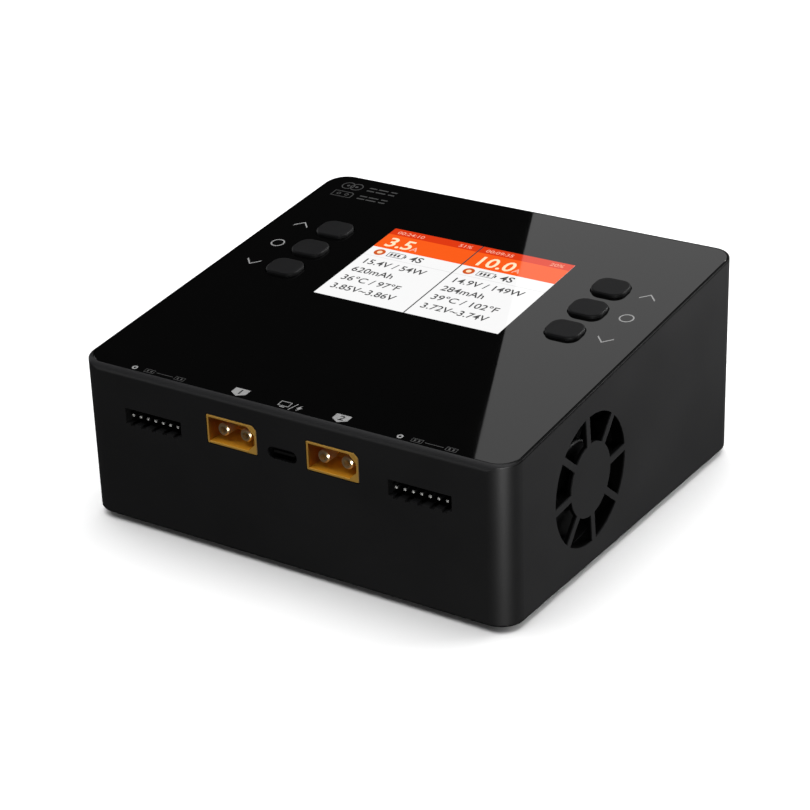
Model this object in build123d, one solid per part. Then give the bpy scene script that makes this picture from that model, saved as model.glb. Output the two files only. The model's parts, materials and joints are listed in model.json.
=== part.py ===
from build123d import *
from math import atan2, cos, degrees, hypot, radians, sin, tan
import os

os.makedirs("parts", exist_ok=True)

# Balance battery charger. Millimetres, +X right, -Y front, +Z up.
# The origin is on the table, under the middle of the case.

# ---------------------------------------------------------------- case
body_width = 134.0
body_depth = 123.0
front_height = 44.5
rear_height = 58.5
foot_height = 1.5
corner_radius = 6.5
wall = 2.2
rim_fillet = 0.4
front_roll = 1.75
bottom_fillet = 0.9

# ---------------------------------------------------------------- glossy panel and display
panel_inset = 0.55
panel_front_inset = 1.7
panel_thickness = 1.0
panel_gap = 0.08
panel_chamfer = 0.15
top_wall = 1.6
display_width = 59.4
display_height = 41.8
display_centre_s = 78.1
window_gap = 0.04
module_margin = 0.9
module_thickness = 3.0
module_clearance = 0.25
tray_wall = 1.5
tray_floor = 1.2

# ---------------------------------------------------------------- buttons
button_x = 45.3
button_pitch = 12.6
buttons_centre_s = 78.1
button_width = 10.2
button_height = 8.7
button_corner = 3.3
button_proud = 1.05
button_edge = 0.5
button_gap = 0.3
button_travel = 0.5
flange_lip = 0.75
flange_thickness = 0.8
flange_gap = 0.1
stem_diameter = 3.0
stem_length = 0.5
plunger_diameter = 3.5
plunger_length = 1.4
slide_clearance = 0.06
switch_size = 6.0
switch_height = 2.4
switch_over_travel = 0.1

# ---------------------------------------------------------------- control board
control_board_thickness = 1.6
control_board_depth = 49.0
control_board_edge = 0.8
control_screw_x = 34.8
control_screw_spread = 40.0
control_boss_diameter = 4.4
small_screw = 1.7
small_head_diameter = 3.6
small_head_height = 1.3
pilot_clearance = 0.03
ribbon_width = 14.0
ribbon_thickness = 0.8
ribbon_x = -12.0
ribbon_connector_height = 2.5
ribbon_connector_depth = 4.0
ribbon_top_s = 66.0
ribbon_bottom_y = 8.0
ribbon_bend = 4.0
seat_gap = 0.1

# ---------------------------------------------------------------- front ports
ports_offset = -0.7
socket_width = 16.0
socket_height = 8.2
socket_depth = 16.0
socket_x = 15.85
socket_z = 35.9
socket_wall = 0.65
socket_cavity_depth = 9.0
socket_key = 2.2
socket_corner = 0.3
socket_shoulder = 1.3
socket_edge = 0.15
pin_diameter = 3.5
pin_pitch = 7.2
pin_recess = 1.2
pin_bore = 1.9
pin_bore_depth = 4.0
pin_tail = 2.0
pin_tail_length = 3.0
header_pins = 7
header_pitch = 2.5
header_x = 41.95
header_z = 33.1
header_slot_width = 18.7
header_slot_height = 4.5
header_wall = 0.9
header_depth = 11.0
header_slot_depth = 7.0
header_pin_size = 0.64
header_tip_recess = 0.8
header_notches = 5
header_notch_pitch = 3.6
header_notch_width = 1.5
header_notch_height = 0.7
data_port_x = -0.5
data_port_z = 33.95
data_port_width = 8.94
data_port_height = 3.16
data_port_depth = 7.4
data_port_skin = 0.3
data_port_recess = 0.3
tongue_width = 6.7
tongue_thickness = 0.7
port_gap = 0.15

# ---------------------------------------------------------------- fan
fan_size = 38.0
fan_depth = 12.0
fan_rim = 1.0
fan_corner = 3.0
fan_hole_inset = 3.25
fan_hole = 2.7
fan_y = -21.1
fan_floor_gap = 3.4
fan_seat = 1.8
grille_over_bore = 0.1
grille_hub = 10.2
grille_spokes = 8
grille_spoke_width = 1.9
grille_thickness = 1.2
grille_pocket = 0.3
grille_turn = 5.5
grille_edge = 0.35
rotor_tip_gap = 0.7
rotor_hub_radius = 9.6
rotor_wall = 1.0
rotor_depth = 8.8
rotor_face_gap = 0.8
rotor_blades = 7
blade_thickness = 1.1
blade_root_angle = 48.0
blade_tip_angle = 32.0
blade_chord = 10.5
shaft_diameter = 2.0
shaft_clearance = 0.05
bearing_diameter = 5.6
fan_hub_disc = 1.5
fan_strut_width = 2.4
stator_gap = 0.9
fan_screw = 2.5
fan_screw_head = 4.8
fan_screw_head_height = 1.6
fan_screw_bite = 2.8
lead_diameter = 1.3
lead_pitch = 1.5

# ---------------------------------------------------------------- base and fasteners
base_thickness = 2.2
base_gap = 0.15
case_boss_diameter = 7.0
case_boss_inset = 6.95
case_screw = 2.6
case_screw_head = 5.2
case_screw_head_height = 2.0
case_screw_length = 14.0
pilot_extra = 2.0
foot_diameter = 11.0
foot_recess = 0.8
foot_inset_x = 20.0
foot_inset_y = 14.5
base_slot_count = 7
base_slot_pitch = 5.0
base_slot_length = 26.0
base_slot_width = 2.2
post_diameter = 8.0
post_height = 4.0

# ---------------------------------------------------------------- boards inside
board_thickness = 1.6
board_side_gap = 7.0
board_front_gap = 1.8
charge_board_rear_gap = 41.5
power_board_rear_gap = 4.5
boss_clearance = 0.9
fan_clearance = 2.2
standoff_across = 5.5
standoff_stud = 3.0
standoff_stud_length = 5.0
standoff_front_inset = (11.0, 16.0)
standoff_rear_inset = (23.0, 6.0)
left_post_inset = (15.0, 19.5)
right_post_inset = (13.0, 14.5)
board_screw = 2.9
board_screw_head = 5.2
board_screw_head_height = 1.8
board_screw_length = 4.8

# ---------------------------------------------------------------- electrical parts
transistor_size = (6.0, 5.0, 1.2)
transistor_count = 6
transistor_pitch = 9.0
heatsink_size = (58.0, 30.0, 9.5)
heatsink_from_front = 37.5
heatsink_x = -6.0
heatsink_base = 2.2
heatsink_fins = 12
heatsink_fin = 1.2
inductor_size = (11.0, 11.0, 7.0)
inductor_x = -48.0
inductor_count = 4
inductor_from_front = 26.5
inductor_pitch = 13.0
buzzer_diameter = 12.0
buzzer_height = 8.5
buzzer_x = -28.0
buzzer_from_edge = 12.0
capacitor_diameter = 10.0
capacitor_height = 16.0
capacitor_count = 4
capacitor_first_x = -30.0
capacitor_pitch = 12.0
capacitor_from_front = 39.5
bulk_diameter = 22.0
bulk_height = 33.0
bulk_x = 38.0
bulk_from_rear = 27.5
core_size = (28.0, 12.0, 24.0)
core_leg = 7.0
core_x = 10.0
core_from_rear = 25.5
winding_gap = 0.3
winding_thickness = 6.0
choke_radius = 8.0
choke_wire = 3.2
choke_x = -18.0
choke_from_rear = 33.5
fuse_diameter = 5.2
fuse_length = 20.0
fuse_x = -42.0
fuse_from_rear = 33.5
fuse_clip = 1.2

# ---------------------------------------------------------------- rear ports and vents
inlet_x = -43.0
inlet_z = 22.0
inlet_circle = 8.8
inlet_circle_spacing = 6.8
inlet_waist = 5.8
inlet_depth = 17.0
inlet_cavity_depth = 12.0
inlet_wall = 1.7
inlet_flange = (32.0, 16.0, 1.0)
inlet_pin_diameter = 2.4
inlet_pin_pitch = 8.6
inlet_pin_recess = 2.5
dc_socket_x = -43.0
dc_socket_z = 41.0
vent_count = 11
vent_pitch = 4.6
vent_width = 2.0
vent_height = 20.0
vent_z = 26.0
left_vent_y = 0.0
rear_vent_x = 30.0

# ---------------------------------------------------------------- worked-out places
slope_angle = degrees(atan2(rear_height - front_height, body_depth))
slope_length = hypot(body_depth, rear_height - front_height)
front_y = -body_depth / 2
rear_y = body_depth / 2
right_x = body_width / 2
case_bottom = foot_height
base_top = case_bottom + base_thickness
power_board_bottom = base_top + post_height
power_board_top = power_board_bottom + board_thickness
charge_board_top = header_z - header_slot_height / 2 - header_wall
charge_board_bottom = charge_board_top - board_thickness
tall = 3 * rear_height
fan_z = base_top + fan_floor_gap + fan_size / 2
fan_bore = fan_size - 2 * fan_rim
fan_hole_spacing = fan_size - 2 * fan_hole_inset
rotor_radius = fan_bore / 2 - rotor_tip_gap
grille_radius = fan_bore / 2 + grille_over_bore
board_half_width = right_x - board_side_gap
charge_board_rear_y = rear_y - charge_board_rear_gap
power_board_rear_y = rear_y - power_board_rear_gap
standoff_places = [
    (side * (right_x - inset_x), y)
    for inset_x, y in (
        (standoff_front_inset[0], front_y + standoff_front_inset[1]),
        (standoff_rear_inset[0], charge_board_rear_y - standoff_rear_inset[1]),
    )
    for side in (-1, 1)
]
rear_post_places = [
    (left_post_inset[0] - right_x, rear_y - left_post_inset[1]),
    (right_x - right_post_inset[0], rear_y - right_post_inset[1]),
]
heatsink_y = front_y + heatsink_from_front
inductor_places_y = [
    front_y + inductor_from_front + index * inductor_pitch for index in range(inductor_count)
]
buzzer_place = (buzzer_x, charge_board_rear_y - buzzer_from_edge)
capacitor_places = [
    (capacitor_first_x + index * capacitor_pitch, front_y + capacitor_from_front)
    for index in range(capacitor_count)
]
bulk_place = (bulk_x, rear_y - bulk_from_rear)
core_place = (core_x, rear_y - core_from_rear)
choke_place = (choke_x, rear_y - choke_from_rear)
fuse_place = (fuse_x, rear_y - fuse_from_rear)

# The panel plane lies on the glossy top: local x to the right, y up the slope, z out of it.
panel_plane = Plane(
    origin=(0, front_y, case_bottom + front_height),
    x_dir=(1, 0, 0),
    z_dir=(0, -sin(radians(slope_angle)), cos(radians(slope_angle))),
)
wall_under = -(panel_thickness + top_wall)
flange_top = wall_under - flange_gap
flange_bottom = flange_top - flange_thickness
plunger_top = flange_bottom - stem_length
plunger_bottom = plunger_top - plunger_length
switch_bore_bottom = plunger_bottom - button_travel - switch_over_travel
switch_top = plunger_top - button_travel - switch_over_travel
control_board_top = switch_top - switch_height
control_board_bottom = control_board_top - control_board_thickness
module_bottom = -(panel_thickness + module_thickness)
seat_x = right_x - wall - fan_seat
fan_inner_x = seat_x - fan_depth
rotor_face_x = seat_x - rotor_face_gap
rotor_back_x = rotor_face_x - rotor_depth
heatsink_bottom = charge_board_top + transistor_size[2]


def on_panel(shape, x=0.0, s=0.0, n=0.0):
    """Carries a shape drawn about the XY origin to a place on the sloping panel."""
    return panel_plane * (Pos(x, s, n) * shape)


def slab(sketch, low, high):
    """A sketch in XY made solid between two heights."""
    return Pos(0, 0, low) * extrude(sketch, amount=high - low)


def rod(diameter, low, high):
    """An upright round bar between two heights."""
    return slab(Circle(diameter / 2), low, high)


def facing_front(shape, x, y, z):
    """Turns a shape drawn in XY, with Z pointing out, to look out of the front face."""
    return Pos(x, y, z) * (Rot(X=90) * shape)


def facing_rear(shape, x, y, z):
    """The same for the rear face."""
    return Pos(x, y, z) * (Rot(Z=180) * (Rot(X=90) * shape))


def facing_right(shape, x, y, z):
    """The same for the right side: the sketch's x runs to the rear and its y runs up."""
    return Plane(origin=(x, y, z), x_dir=(0, 1, 0), z_dir=(1, 0, 0)) * shape


def self_tapper(diameter, length, head_diameter, head_height):
    """A pan-head screw: the head is above z = 0 and the shank below it."""
    head = rod(head_diameter, 0, head_height)
    head = fillet(head.faces().sort_by(Axis.Z)[-1].edges(), head_height * 0.45)
    drive = slab(Rectangle(head_diameter * 0.55, head_height * 0.3), head_height * 0.5, head_height)
    cross = drive + Rot(Z=90) * drive
    return head + rod(diameter, -length, 0) - cross


def case_wedge(inset, top_n, bottom):
    """The wedge of the case, drawn in by an inset, its slope at a depth under the panel plane."""
    outline = RectangleRounded(body_width - 2 * inset, body_depth - 2 * inset, corner_radius - inset)
    prism = slab(outline, bottom, tall)
    return split(prism, bisect_by=panel_plane.offset(top_n), keep=Keep.BOTTOM)


def panel_outline(gap=0.0):
    """The outline of the glossy panel on the panel plane, drawn in by a gap. Its y is 0 half way up."""
    side = panel_inset + gap
    front = panel_front_inset + gap
    sheet = RectangleRounded(body_width - 2 * side, slope_length - side - front, corner_radius - side)
    return Pos(0, (front - side) / 2) * sheet


def front_roll_cutter():
    """What the rounded front edge takes off: the edge's corner outside a bar of the roll's radius."""
    opening = radians(90 + slope_angle)
    tangent = front_roll / tan(opening / 2)
    edge_z = case_bottom + front_height
    on_slope = (tangent * cos(radians(slope_angle)), tangent * sin(radians(slope_angle)))
    outside = 2 * tangent
    corner = Polygon(
        (0, -tangent), (front_roll, -tangent), on_slope, (on_slope[0], outside),
        (-outside, outside), (-outside, -tangent), align=None,
    )
    corner -= Pos(front_roll, -tangent) * Circle(front_roll)
    side_view = Plane(origin=(-body_width, front_y, edge_z), x_dir=(0, 1, 0), z_dir=(1, 0, 0))
    return extrude(side_view * corner, amount=2 * body_width)


def button_places():
    """Name, x and s of each button."""
    rows = {"up": 1, "select": 0, "down": -1}
    sides = {"left": -1, "right": 1}
    return [
        (f"{side}_{row}", sign * button_x, buttons_centre_s + step * button_pitch)
        for side, sign in sides.items()
        for row, step in rows.items()
    ]


def button_outline(grow=0.0):
    """The cap's rounded outline, grown all round."""
    return RectangleRounded(button_width + 2 * grow, button_height + 2 * grow, button_corner + grow)


def control_screw_places():
    """x and s of the screws that hold the control board."""
    half = control_screw_spread / 2
    return [(sx * control_screw_x, display_centre_s + ss * half) for sx in (-1, 1) for ss in (-1, 1)]


def case_boss_places():
    """x and y of the four bosses that take the base screws."""
    x, y = right_x - case_boss_inset, rear_y - case_boss_inset
    return [(sx * x, sy * y) for sx in (-1, 1) for sy in (-1, 1)]


def socket_outline(shrink=0.0):
    """Front outline of a two-pole socket, seen from outside. One corner at its right end is cut off."""
    outline = RectangleRounded(socket_width - 2 * shrink, socket_height - 2 * shrink, socket_corner)
    right, top = socket_width / 2 - shrink, socket_height / 2 - shrink
    cut = socket_shoulder
    return outline - Polygon((right - cut, top), (right + 1, top - cut - 1), (right + 1, top), align=None)


def socket_cavity():
    """The keyed hollow of a two-pole socket: two corners at its right end are cut off."""
    half_w = socket_width / 2 - socket_wall
    half_h = socket_height / 2 - socket_wall
    return Polygon(
        (-half_w, -half_h), (half_w - socket_key, -half_h), (half_w, socket_key - half_h),
        (half_w, half_h - socket_key), (half_w - socket_key, half_h), (-half_w, half_h), align=None,
    )


def two_pole_socket():
    """Socket body. Its front face is at z = 0 and it runs down to -socket_depth."""
    body = slab(socket_outline(), -socket_depth, 0)
    body = chamfer(body.faces().sort_by(Axis.Z)[-1].edges(), socket_edge)
    body -= slab(socket_cavity(), -socket_cavity_depth, 1)
    for side in (-1, 1):
        body -= Pos(side * pin_pitch / 2, 0) * rod(pin_diameter, -socket_depth - 1, 0)
    return body


def two_pole_pins():
    """Two hollow-tipped contacts with solder tails behind the body."""
    pin = rod(pin_diameter, -socket_depth, -pin_recess)
    pin += rod(pin_tail, -socket_depth - pin_tail_length, -socket_depth)
    pin = chamfer(pin.faces().sort_by(Axis.Z)[-1].edges(), 0.35)
    pin -= rod(pin_bore, -pin_recess - pin_bore_depth, 0)
    return [Pos(side * pin_pitch / 2, 0) * pin for side in (-1, 1)]


def header_outline(gap=0.0):
    """Outside of a balance header's front."""
    width = header_slot_width + 2 * header_wall + 2 * gap
    height = header_slot_height + 2 * header_wall + 2 * gap
    return Rectangle(width, height)


def header_slot():
    """The header's slot, with a row of key notches in its lower edge."""
    slot = Rectangle(header_slot_width, header_slot_height)
    for index in range(header_notches):
        step = index - (header_notches - 1) / 2
        place = Pos(step * header_notch_pitch, -header_slot_height / 2)
        slot += place * Rectangle(header_notch_width, 2 * header_notch_height)
    return slot


def balance_header():
    """Header body, front face at z = 0."""
    body = slab(header_outline(), -header_depth, 0) - slab(header_slot(), -header_slot_depth, 1)
    for place in header_pin_places():
        body -= place * slab(Rectangle(header_pin_size, header_pin_size), -header_depth - 1, 0)
    return body


def header_pin_places():
    """Where the pins stand in the header's front face."""
    half = (header_pins - 1) / 2
    return [Pos((index - half) * header_pitch, 0) for index in range(header_pins)]


def balance_pins(down):
    """Right-angle pins of a header. Their tips lie a little behind the case's face, and each turns down."""
    pins = []
    for place in header_pin_places():
        square = Rectangle(header_pin_size, header_pin_size)
        back = slab(square, -header_depth - 2 * header_pin_size, wall - header_tip_recess)
        back = chamfer(back.faces().sort_by(Axis.Z)[-1].edges(), 0.15)
        leg = Box(header_pin_size, down, header_pin_size, align=(Align.CENTER, Align.MAX, Align.MIN))
        leg = Pos(0, 0, -header_depth - 2 * header_pin_size) * leg
        pins.append(place * (back + leg))
    return pins


def data_port_outline(shrink=0.0):
    """Rounded-end outline of the data port."""
    return SlotOverall(data_port_width - 2 * shrink, data_port_height - 2 * shrink)


def data_port_shell():
    """Drawn steel shell, open to the front, closed behind."""
    shell = slab(data_port_outline(), -data_port_depth, 0)
    return shell - slab(data_port_outline(data_port_skin), data_port_skin - data_port_depth, 1)


def data_port_tongue():
    """Contact tongue that stands in the middle of the shell."""
    tongue = slab(Rectangle(tongue_width, tongue_thickness), data_port_skin - data_port_depth, -0.8)
    return tongue


def inlet_outline(grow=0.0):
    """The figure-eight hollow of the mains inlet."""
    circle = Circle(inlet_circle / 2 + grow)
    half = inlet_circle_spacing / 2
    waist = Rectangle(inlet_circle_spacing, inlet_waist + 2 * grow)
    return Pos(-half, 0) * circle + Pos(half, 0) * circle + waist


def mains_inlet():
    """Snap-in inlet: a flange at z = 0 and a body behind it."""
    flange = slab(RectangleRounded(inlet_flange[0], inlet_flange[1], 2.0), -inlet_flange[2], 0)
    flange = chamfer(flange.faces().sort_by(Axis.Z)[-1].edges(), 0.25)
    body = flange + slab(inlet_outline(inlet_wall), -inlet_depth, -inlet_flange[2])
    body -= slab(inlet_outline(), -inlet_cavity_depth, 1)
    for side in (-1, 1):
        body -= Pos(side * inlet_pin_pitch / 2, 0) * rod(inlet_pin_diameter, -inlet_depth - 1, 0)
    return body


def mains_pins():
    """Two round mains pins with tails."""
    pin = rod(inlet_pin_diameter, -inlet_depth - pin_tail_length, -inlet_pin_recess)
    pin = fillet(pin.faces().sort_by(Axis.Z)[-1].edges(), 0.8)
    return [Pos(side * inlet_pin_pitch / 2, 0) * pin for side in (-1, 1)]


def fan_grille():
    """The openings of the fan grille: a ring cut by spokes, seen from outside."""
    ring = Circle(grille_radius) - Circle(grille_hub)
    for index in range(grille_spokes):
        spoke = Pos(grille_radius / 2, 0) * Rectangle(grille_radius + 2, grille_spoke_width)
        ring -= Rot(Z=grille_turn + index * 360 / grille_spokes) * spoke
    return ring


def fan_hole_places():
    """Corners of the fan's screw pattern."""
    half = fan_hole_spacing / 2
    return [(sy * half, sz * half) for sy in (-1, 1) for sz in (-1, 1)]


def vent_slots(count):
    """A row of upright slots, centred."""
    slots = Sketch()
    for index in range(count):
        place = Pos((index - (count - 1) / 2) * vent_pitch, 0)
        slots += place * SlotOverall(vent_height, vent_width, rotation=90)
    return slots


def housing_shell():
    """Upper case: walls, sloping top with the panel's recess, bosses, fan seat and port cut-outs."""
    shell = case_wedge(0, 0, case_bottom)
    shell = fillet(shell.faces().sort_by(Axis.Z)[-1].edges(), rim_fillet)
    shell -= front_roll_cutter()
    shell = fillet(shell.faces().sort_by(Axis.Z)[0].edges(), bottom_fillet)
    shell -= case_wedge(wall, wall_under, case_bottom - 1)
    recess = slab(panel_outline(), -panel_thickness, rim_fillet)
    shell -= on_panel(recess, s=slope_length / 2)
    shell += case_bosses() + control_bosses() + fan_seat_pad()
    shell -= fan_pilots()
    for _, x, s in button_places():
        shell -= on_panel(slab(button_outline(button_gap), wall_under - 1, 0), x, s)
    spare = 2 * module_clearance
    module_hole = Rectangle(module_width() + spare, module_height() + spare)
    shell -= on_panel(slab(module_hole, wall_under - 1, 0), s=display_centre_s)
    shell = cut_front_ports(shell)
    shell = cut_rear_ports(shell)
    return cut_side_openings(shell)


def module_width():
    """Width of the display module, wider than its window by a margin on each side."""
    return display_width + 2 * module_margin


def module_height():
    """Height of the display module along the slope."""
    return display_height + 2 * module_margin


def case_bosses():
    """Four corner bosses from the top wall down to the base cover, trimmed to the inside of the case."""
    bosses = Part()
    for x, y in case_boss_places():
        bosses += Pos(x, y) * rod(case_boss_diameter, base_top, tall)
    bosses &= case_wedge(wall / 2, wall_under / 2 - panel_thickness / 2, base_top)
    for x, y in case_boss_places():
        pilot_top = base_top + case_screw_length + pilot_extra
        bosses -= Pos(x, y) * rod(case_screw + 2 * pilot_clearance, 0, pilot_top)
    return bosses


def control_bosses():
    """Four short bosses under the top wall that carry the control board."""
    bosses = Part()
    for x, s in control_screw_places():
        boss = rod(control_boss_diameter, control_board_top, wall_under)
        boss -= rod(small_screw + 2 * pilot_clearance, control_board_top, wall_under - 0.3)
        bosses += on_panel(boss, x, s)
    return bosses


def fan_seat_pad():
    """Square pad inside the right wall that the fan's frame is screwed against."""
    pad = RectangleRounded(fan_size, fan_size, fan_corner) - Circle(grille_radius)
    return facing_right(slab(pad, 0, fan_seat + wall / 2), seat_x, fan_y, fan_z)


def fan_pilots():
    """Blind holes in the pad and the wall for the fan's screws."""
    pilots = Part()
    for across, up in fan_hole_places():
        pilots += Pos(across, up) * rod(fan_screw + 2 * pilot_clearance, 0, fan_screw_bite + seat_gap)
    return facing_right(pilots, seat_x, fan_y, fan_z)


def cut_front_ports(shell):
    """Openings for the two output sockets, two balance headers and the data port."""
    depth = wall + 0.5
    for side in (-1, 1):
        hole = slab(socket_outline(-port_gap), -depth, 1)
        shell -= facing_front(hole, ports_offset + side * socket_x, front_y, socket_z)
        slot = slab(header_slot(), -depth, 1)
        shell -= facing_front(slot, ports_offset + side * header_x, front_y, header_z)
    port = slab(data_port_outline(-port_gap), -depth, 1)
    return shell - facing_front(port, data_port_x, front_y, data_port_z)


def cut_rear_ports(shell):
    """Openings for the mains inlet, the low-voltage input and the rear vents."""
    depth = wall + 0.5
    flange = RectangleRounded(inlet_flange[0] + 2 * port_gap, inlet_flange[1] + 2 * port_gap, 2.0)
    shell -= facing_rear(slab(flange, -inlet_flange[2], 1), inlet_x, rear_y, inlet_z)
    shell -= facing_rear(slab(inlet_outline(inlet_wall + port_gap), -depth, 1), inlet_x, rear_y, inlet_z)
    shell -= facing_rear(slab(socket_outline(-port_gap), -depth, 1), dc_socket_x, rear_y, dc_socket_z)
    return shell - facing_rear(slab(vent_slots(vent_count), -depth, 1), rear_vent_x, rear_y, vent_z)


def cut_side_openings(shell):
    """The fan grille on the right and the outlet slots on the left."""
    grille = slab(fan_grille(), -wall - fan_seat, 1)
    pocket = slab(Circle(grille_radius + grille_pocket), -wall - fan_seat - 1, -grille_thickness)
    shell -= facing_right(grille + pocket, right_x, fan_y, fan_z)
    slots = Rot(Z=-90) * (Rot(X=90) * slab(vent_slots(vent_count), -wall - 0.5, 1))
    return shell - Pos(-right_x, left_vent_y, vent_z) * slots


def base_cover():
    """Flat base, let into the shell's open bottom, with board posts, foot pockets and air slots."""
    inset = wall + base_gap
    plate = RectangleRounded(body_width - 2 * inset, body_depth - 2 * inset, corner_radius - inset)
    base = slab(plate, case_bottom, base_top)
    for x, y in standoff_places + rear_post_places:
        base += Pos(x, y) * rod(post_diameter, base_top, power_board_bottom)
        base -= Pos(x, y) * rod(standoff_stud + 2 * pilot_clearance, case_bottom + 1, power_board_bottom)
    for x, y in case_boss_places():
        base -= Pos(x, y) * rod(case_screw + 0.6, case_bottom - 1, base_top + 1)
        head = case_screw_head + 0.6
        base -= Pos(x, y) * rod(head, case_bottom - 1, case_bottom + case_screw_head_height - 0.9)
    for x, y in foot_places():
        base -= Pos(x, y) * rod(foot_diameter + 2 * port_gap, case_bottom - 1, case_bottom + foot_recess)
    for index in range(base_slot_count):
        place = Pos(0, (index - (base_slot_count - 1) / 2) * base_slot_pitch)
        base -= place * slab(SlotOverall(base_slot_length, base_slot_width), case_bottom - 1, base_top + 1)
    return base


def foot_places():
    """Centres of the four feet."""
    x, y = right_x - foot_inset_x, rear_y - foot_inset_y
    return [(sx * x, sy * y) for sx in (-1, 1) for sy in (-1, 1)]


def rubber_feet():
    """Four round feet let into the base."""
    foot = rod(foot_diameter, 0, foot_height + foot_recess)
    foot = fillet(foot.faces().sort_by(Axis.Z)[0].edges(), 0.5)
    return [Pos(x, y) * foot for x, y in foot_places()]


def base_screws():
    """Four self-tapping screws from below into the corner bosses."""
    screw = self_tapper(case_screw, case_screw_length, case_screw_head, case_screw_head_height)
    head_seat = case_bottom + case_screw_head_height - 0.9
    return [Pos(x, y, head_seat) * (Rot(X=180) * screw) for x, y in case_boss_places()]


def top_panel():
    """Glossy sheet on the slope, with holes for the window and the six caps."""
    outline = panel_outline(panel_gap)
    panel = slab(outline, -panel_thickness, 0)
    panel = chamfer(panel.faces().sort_by(Axis.Z)[-1].edges(), panel_chamfer)
    shift = -slope_length / 2
    window = Rectangle(display_width + 2 * window_gap, display_height + 2 * window_gap)
    panel -= Pos(0, display_centre_s + shift) * slab(window, -panel_thickness - 1, 1)
    for _, x, s in button_places():
        panel -= Pos(x, s + shift) * slab(button_outline(button_gap), -panel_thickness - 1, 1)
    return on_panel(panel, s=slope_length / 2)


def display_window():
    """Clear pane, level with the panel round it."""
    pane = slab(Rectangle(display_width, display_height), -panel_thickness, 0)
    return on_panel(pane, s=display_centre_s)


def display_module():
    """The lit display, under the window."""
    module = slab(Rectangle(module_width(), module_height()), module_bottom, -panel_thickness)
    return on_panel(module, s=display_centre_s)


def display_tray():
    """Moulded tray that holds the display up from the control board."""
    tray = slab(Rectangle(module_width(), module_height()), control_board_top, module_bottom)
    hollow = Rectangle(module_width() - 2 * tray_wall, module_height() - 2 * tray_wall)
    tray -= slab(hollow, control_board_top, module_bottom - tray_floor)
    return on_panel(tray, s=display_centre_s)


def button_cap(x, s):
    """Cap with a lip under the top wall and a short stem that stands on the switch's plunger."""
    cap = slab(button_outline(), flange_bottom, button_proud)
    cap = fillet(cap.faces().sort_by(Axis.Z)[-1].edges(), button_edge)
    cap += slab(button_outline(flange_lip), flange_bottom, flange_top)
    cap += rod(stem_diameter, plunger_top, flange_bottom)
    return on_panel(cap, x, s)


def switch_plunger(x, s):
    """The part of the switch that moves with its cap."""
    return on_panel(rod(plunger_diameter, plunger_bottom, plunger_top), x, s)


def switch_bodies():
    """Six switch bodies on the control board, each bored for its plunger."""
    body = slab(Rectangle(switch_size, switch_size), control_board_top, switch_top)
    body -= rod(plunger_diameter + 2 * slide_clearance, switch_bore_bottom, switch_top)
    return [on_panel(body, x, s) for _, x, s in button_places()]


def control_board():
    """Board under the panel that carries the display and the switches."""
    width = 2 * (button_x + switch_size / 2 + control_board_edge)
    board = slab(Rectangle(width, control_board_depth), control_board_bottom, control_board_top)
    board = on_panel(board, s=display_centre_s)
    for x, s in control_screw_places():
        board -= on_panel(rod(small_screw + 0.4, control_board_bottom - 1, control_board_top + 1), x, s)
    return board


def control_board_screws():
    """Four small screws from below the control board."""
    length = control_board_thickness + (wall_under - control_board_top) - 0.6
    screw = Rot(X=180) * self_tapper(small_screw, length, small_head_diameter, small_head_height)
    return [on_panel(screw, x, s, control_board_bottom) for x, s in control_screw_places()]


def ribbon_ends():
    """Height and y of the ribbon's two ends, on the two boards' connectors."""
    low = control_board_bottom - ribbon_connector_height - seat_gap
    top = panel_plane.from_local_coords(Vector(0, ribbon_top_s, low))
    bottom = Vector(0, ribbon_bottom_y, charge_board_top + ribbon_connector_height)
    return top, bottom


def ribbon_cable():
    """Flat cable between the control board and the charge board, with an S bend."""
    top, bottom = ribbon_ends()
    middle = (top.Z + bottom.Z) / 2
    path = FilletPolyline(
        (top.Y, top.Z), (top.Y, middle), (bottom.Y, middle), (bottom.Y, bottom.Z),
        radius=min(ribbon_bend, abs(bottom.Y - top.Y) * 0.45, abs(top.Z - bottom.Z) * 0.45),
    )
    strip = Plane.YZ * trace(path, line_width=ribbon_thickness)
    return Pos(ribbon_x, 0, 0) * extrude(strip, amount=ribbon_width / 2, both=True)


def ribbon_connectors():
    """The two board connectors of the ribbon."""
    width = ribbon_width + 2.0
    block = Rectangle(width, ribbon_connector_depth)
    upper = slab(block, control_board_bottom - ribbon_connector_height, control_board_bottom)
    lower = slab(block, charge_board_top, charge_board_top + ribbon_connector_height)
    return [on_panel(upper, ribbon_x, ribbon_top_s), Pos(ribbon_x, ribbon_bottom_y) * lower]


def board_blank(rear, bottom):
    """A board outline with room left for the corner bosses and the fan."""
    front = front_y + wall + board_front_gap
    board = slab(Rectangle(2 * board_half_width, rear - front), bottom, bottom + board_thickness)
    board = Pos(0, (front + rear) / 2) * board
    for x, y in case_boss_places():
        board -= Pos(x, y) * rod(case_boss_diameter + 2 * boss_clearance, 0, tall)
    keep_out = Box(
        right_x - fan_inner_x + fan_clearance, fan_size + 2 * fan_clearance, tall,
        align=(Align.MIN, Align.CENTER, Align.MIN),
    )
    board -= Pos(fan_inner_x - fan_clearance, fan_y) * keep_out
    for x, y in standoff_places:
        board -= Pos(x, y) * rod(standoff_stud + 0.4, 0, tall)
    return board


def charge_board():
    """Upper board: front ports and the charging stages."""
    board = board_blank(charge_board_rear_y, charge_board_bottom)
    for place in header_leg_places():
        board -= place * rod(1.0, charge_board_bottom - 1, charge_board_top + 1)
    return board


def header_leg_places():
    """Where the balance pins go through the charge board."""
    y = front_y + wall + header_depth + 1.5 * header_pin_size
    return [
        Pos(ports_offset + side * header_x, y) * place for side in (-1, 1) for place in header_pin_places()
    ]


def power_board():
    """Lower board: mains supply."""
    board = board_blank(power_board_rear_y, power_board_bottom)
    for x, y in rear_post_places:
        board -= Pos(x, y) * rod(board_screw + 0.4, 0, tall)
    return board


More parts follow.
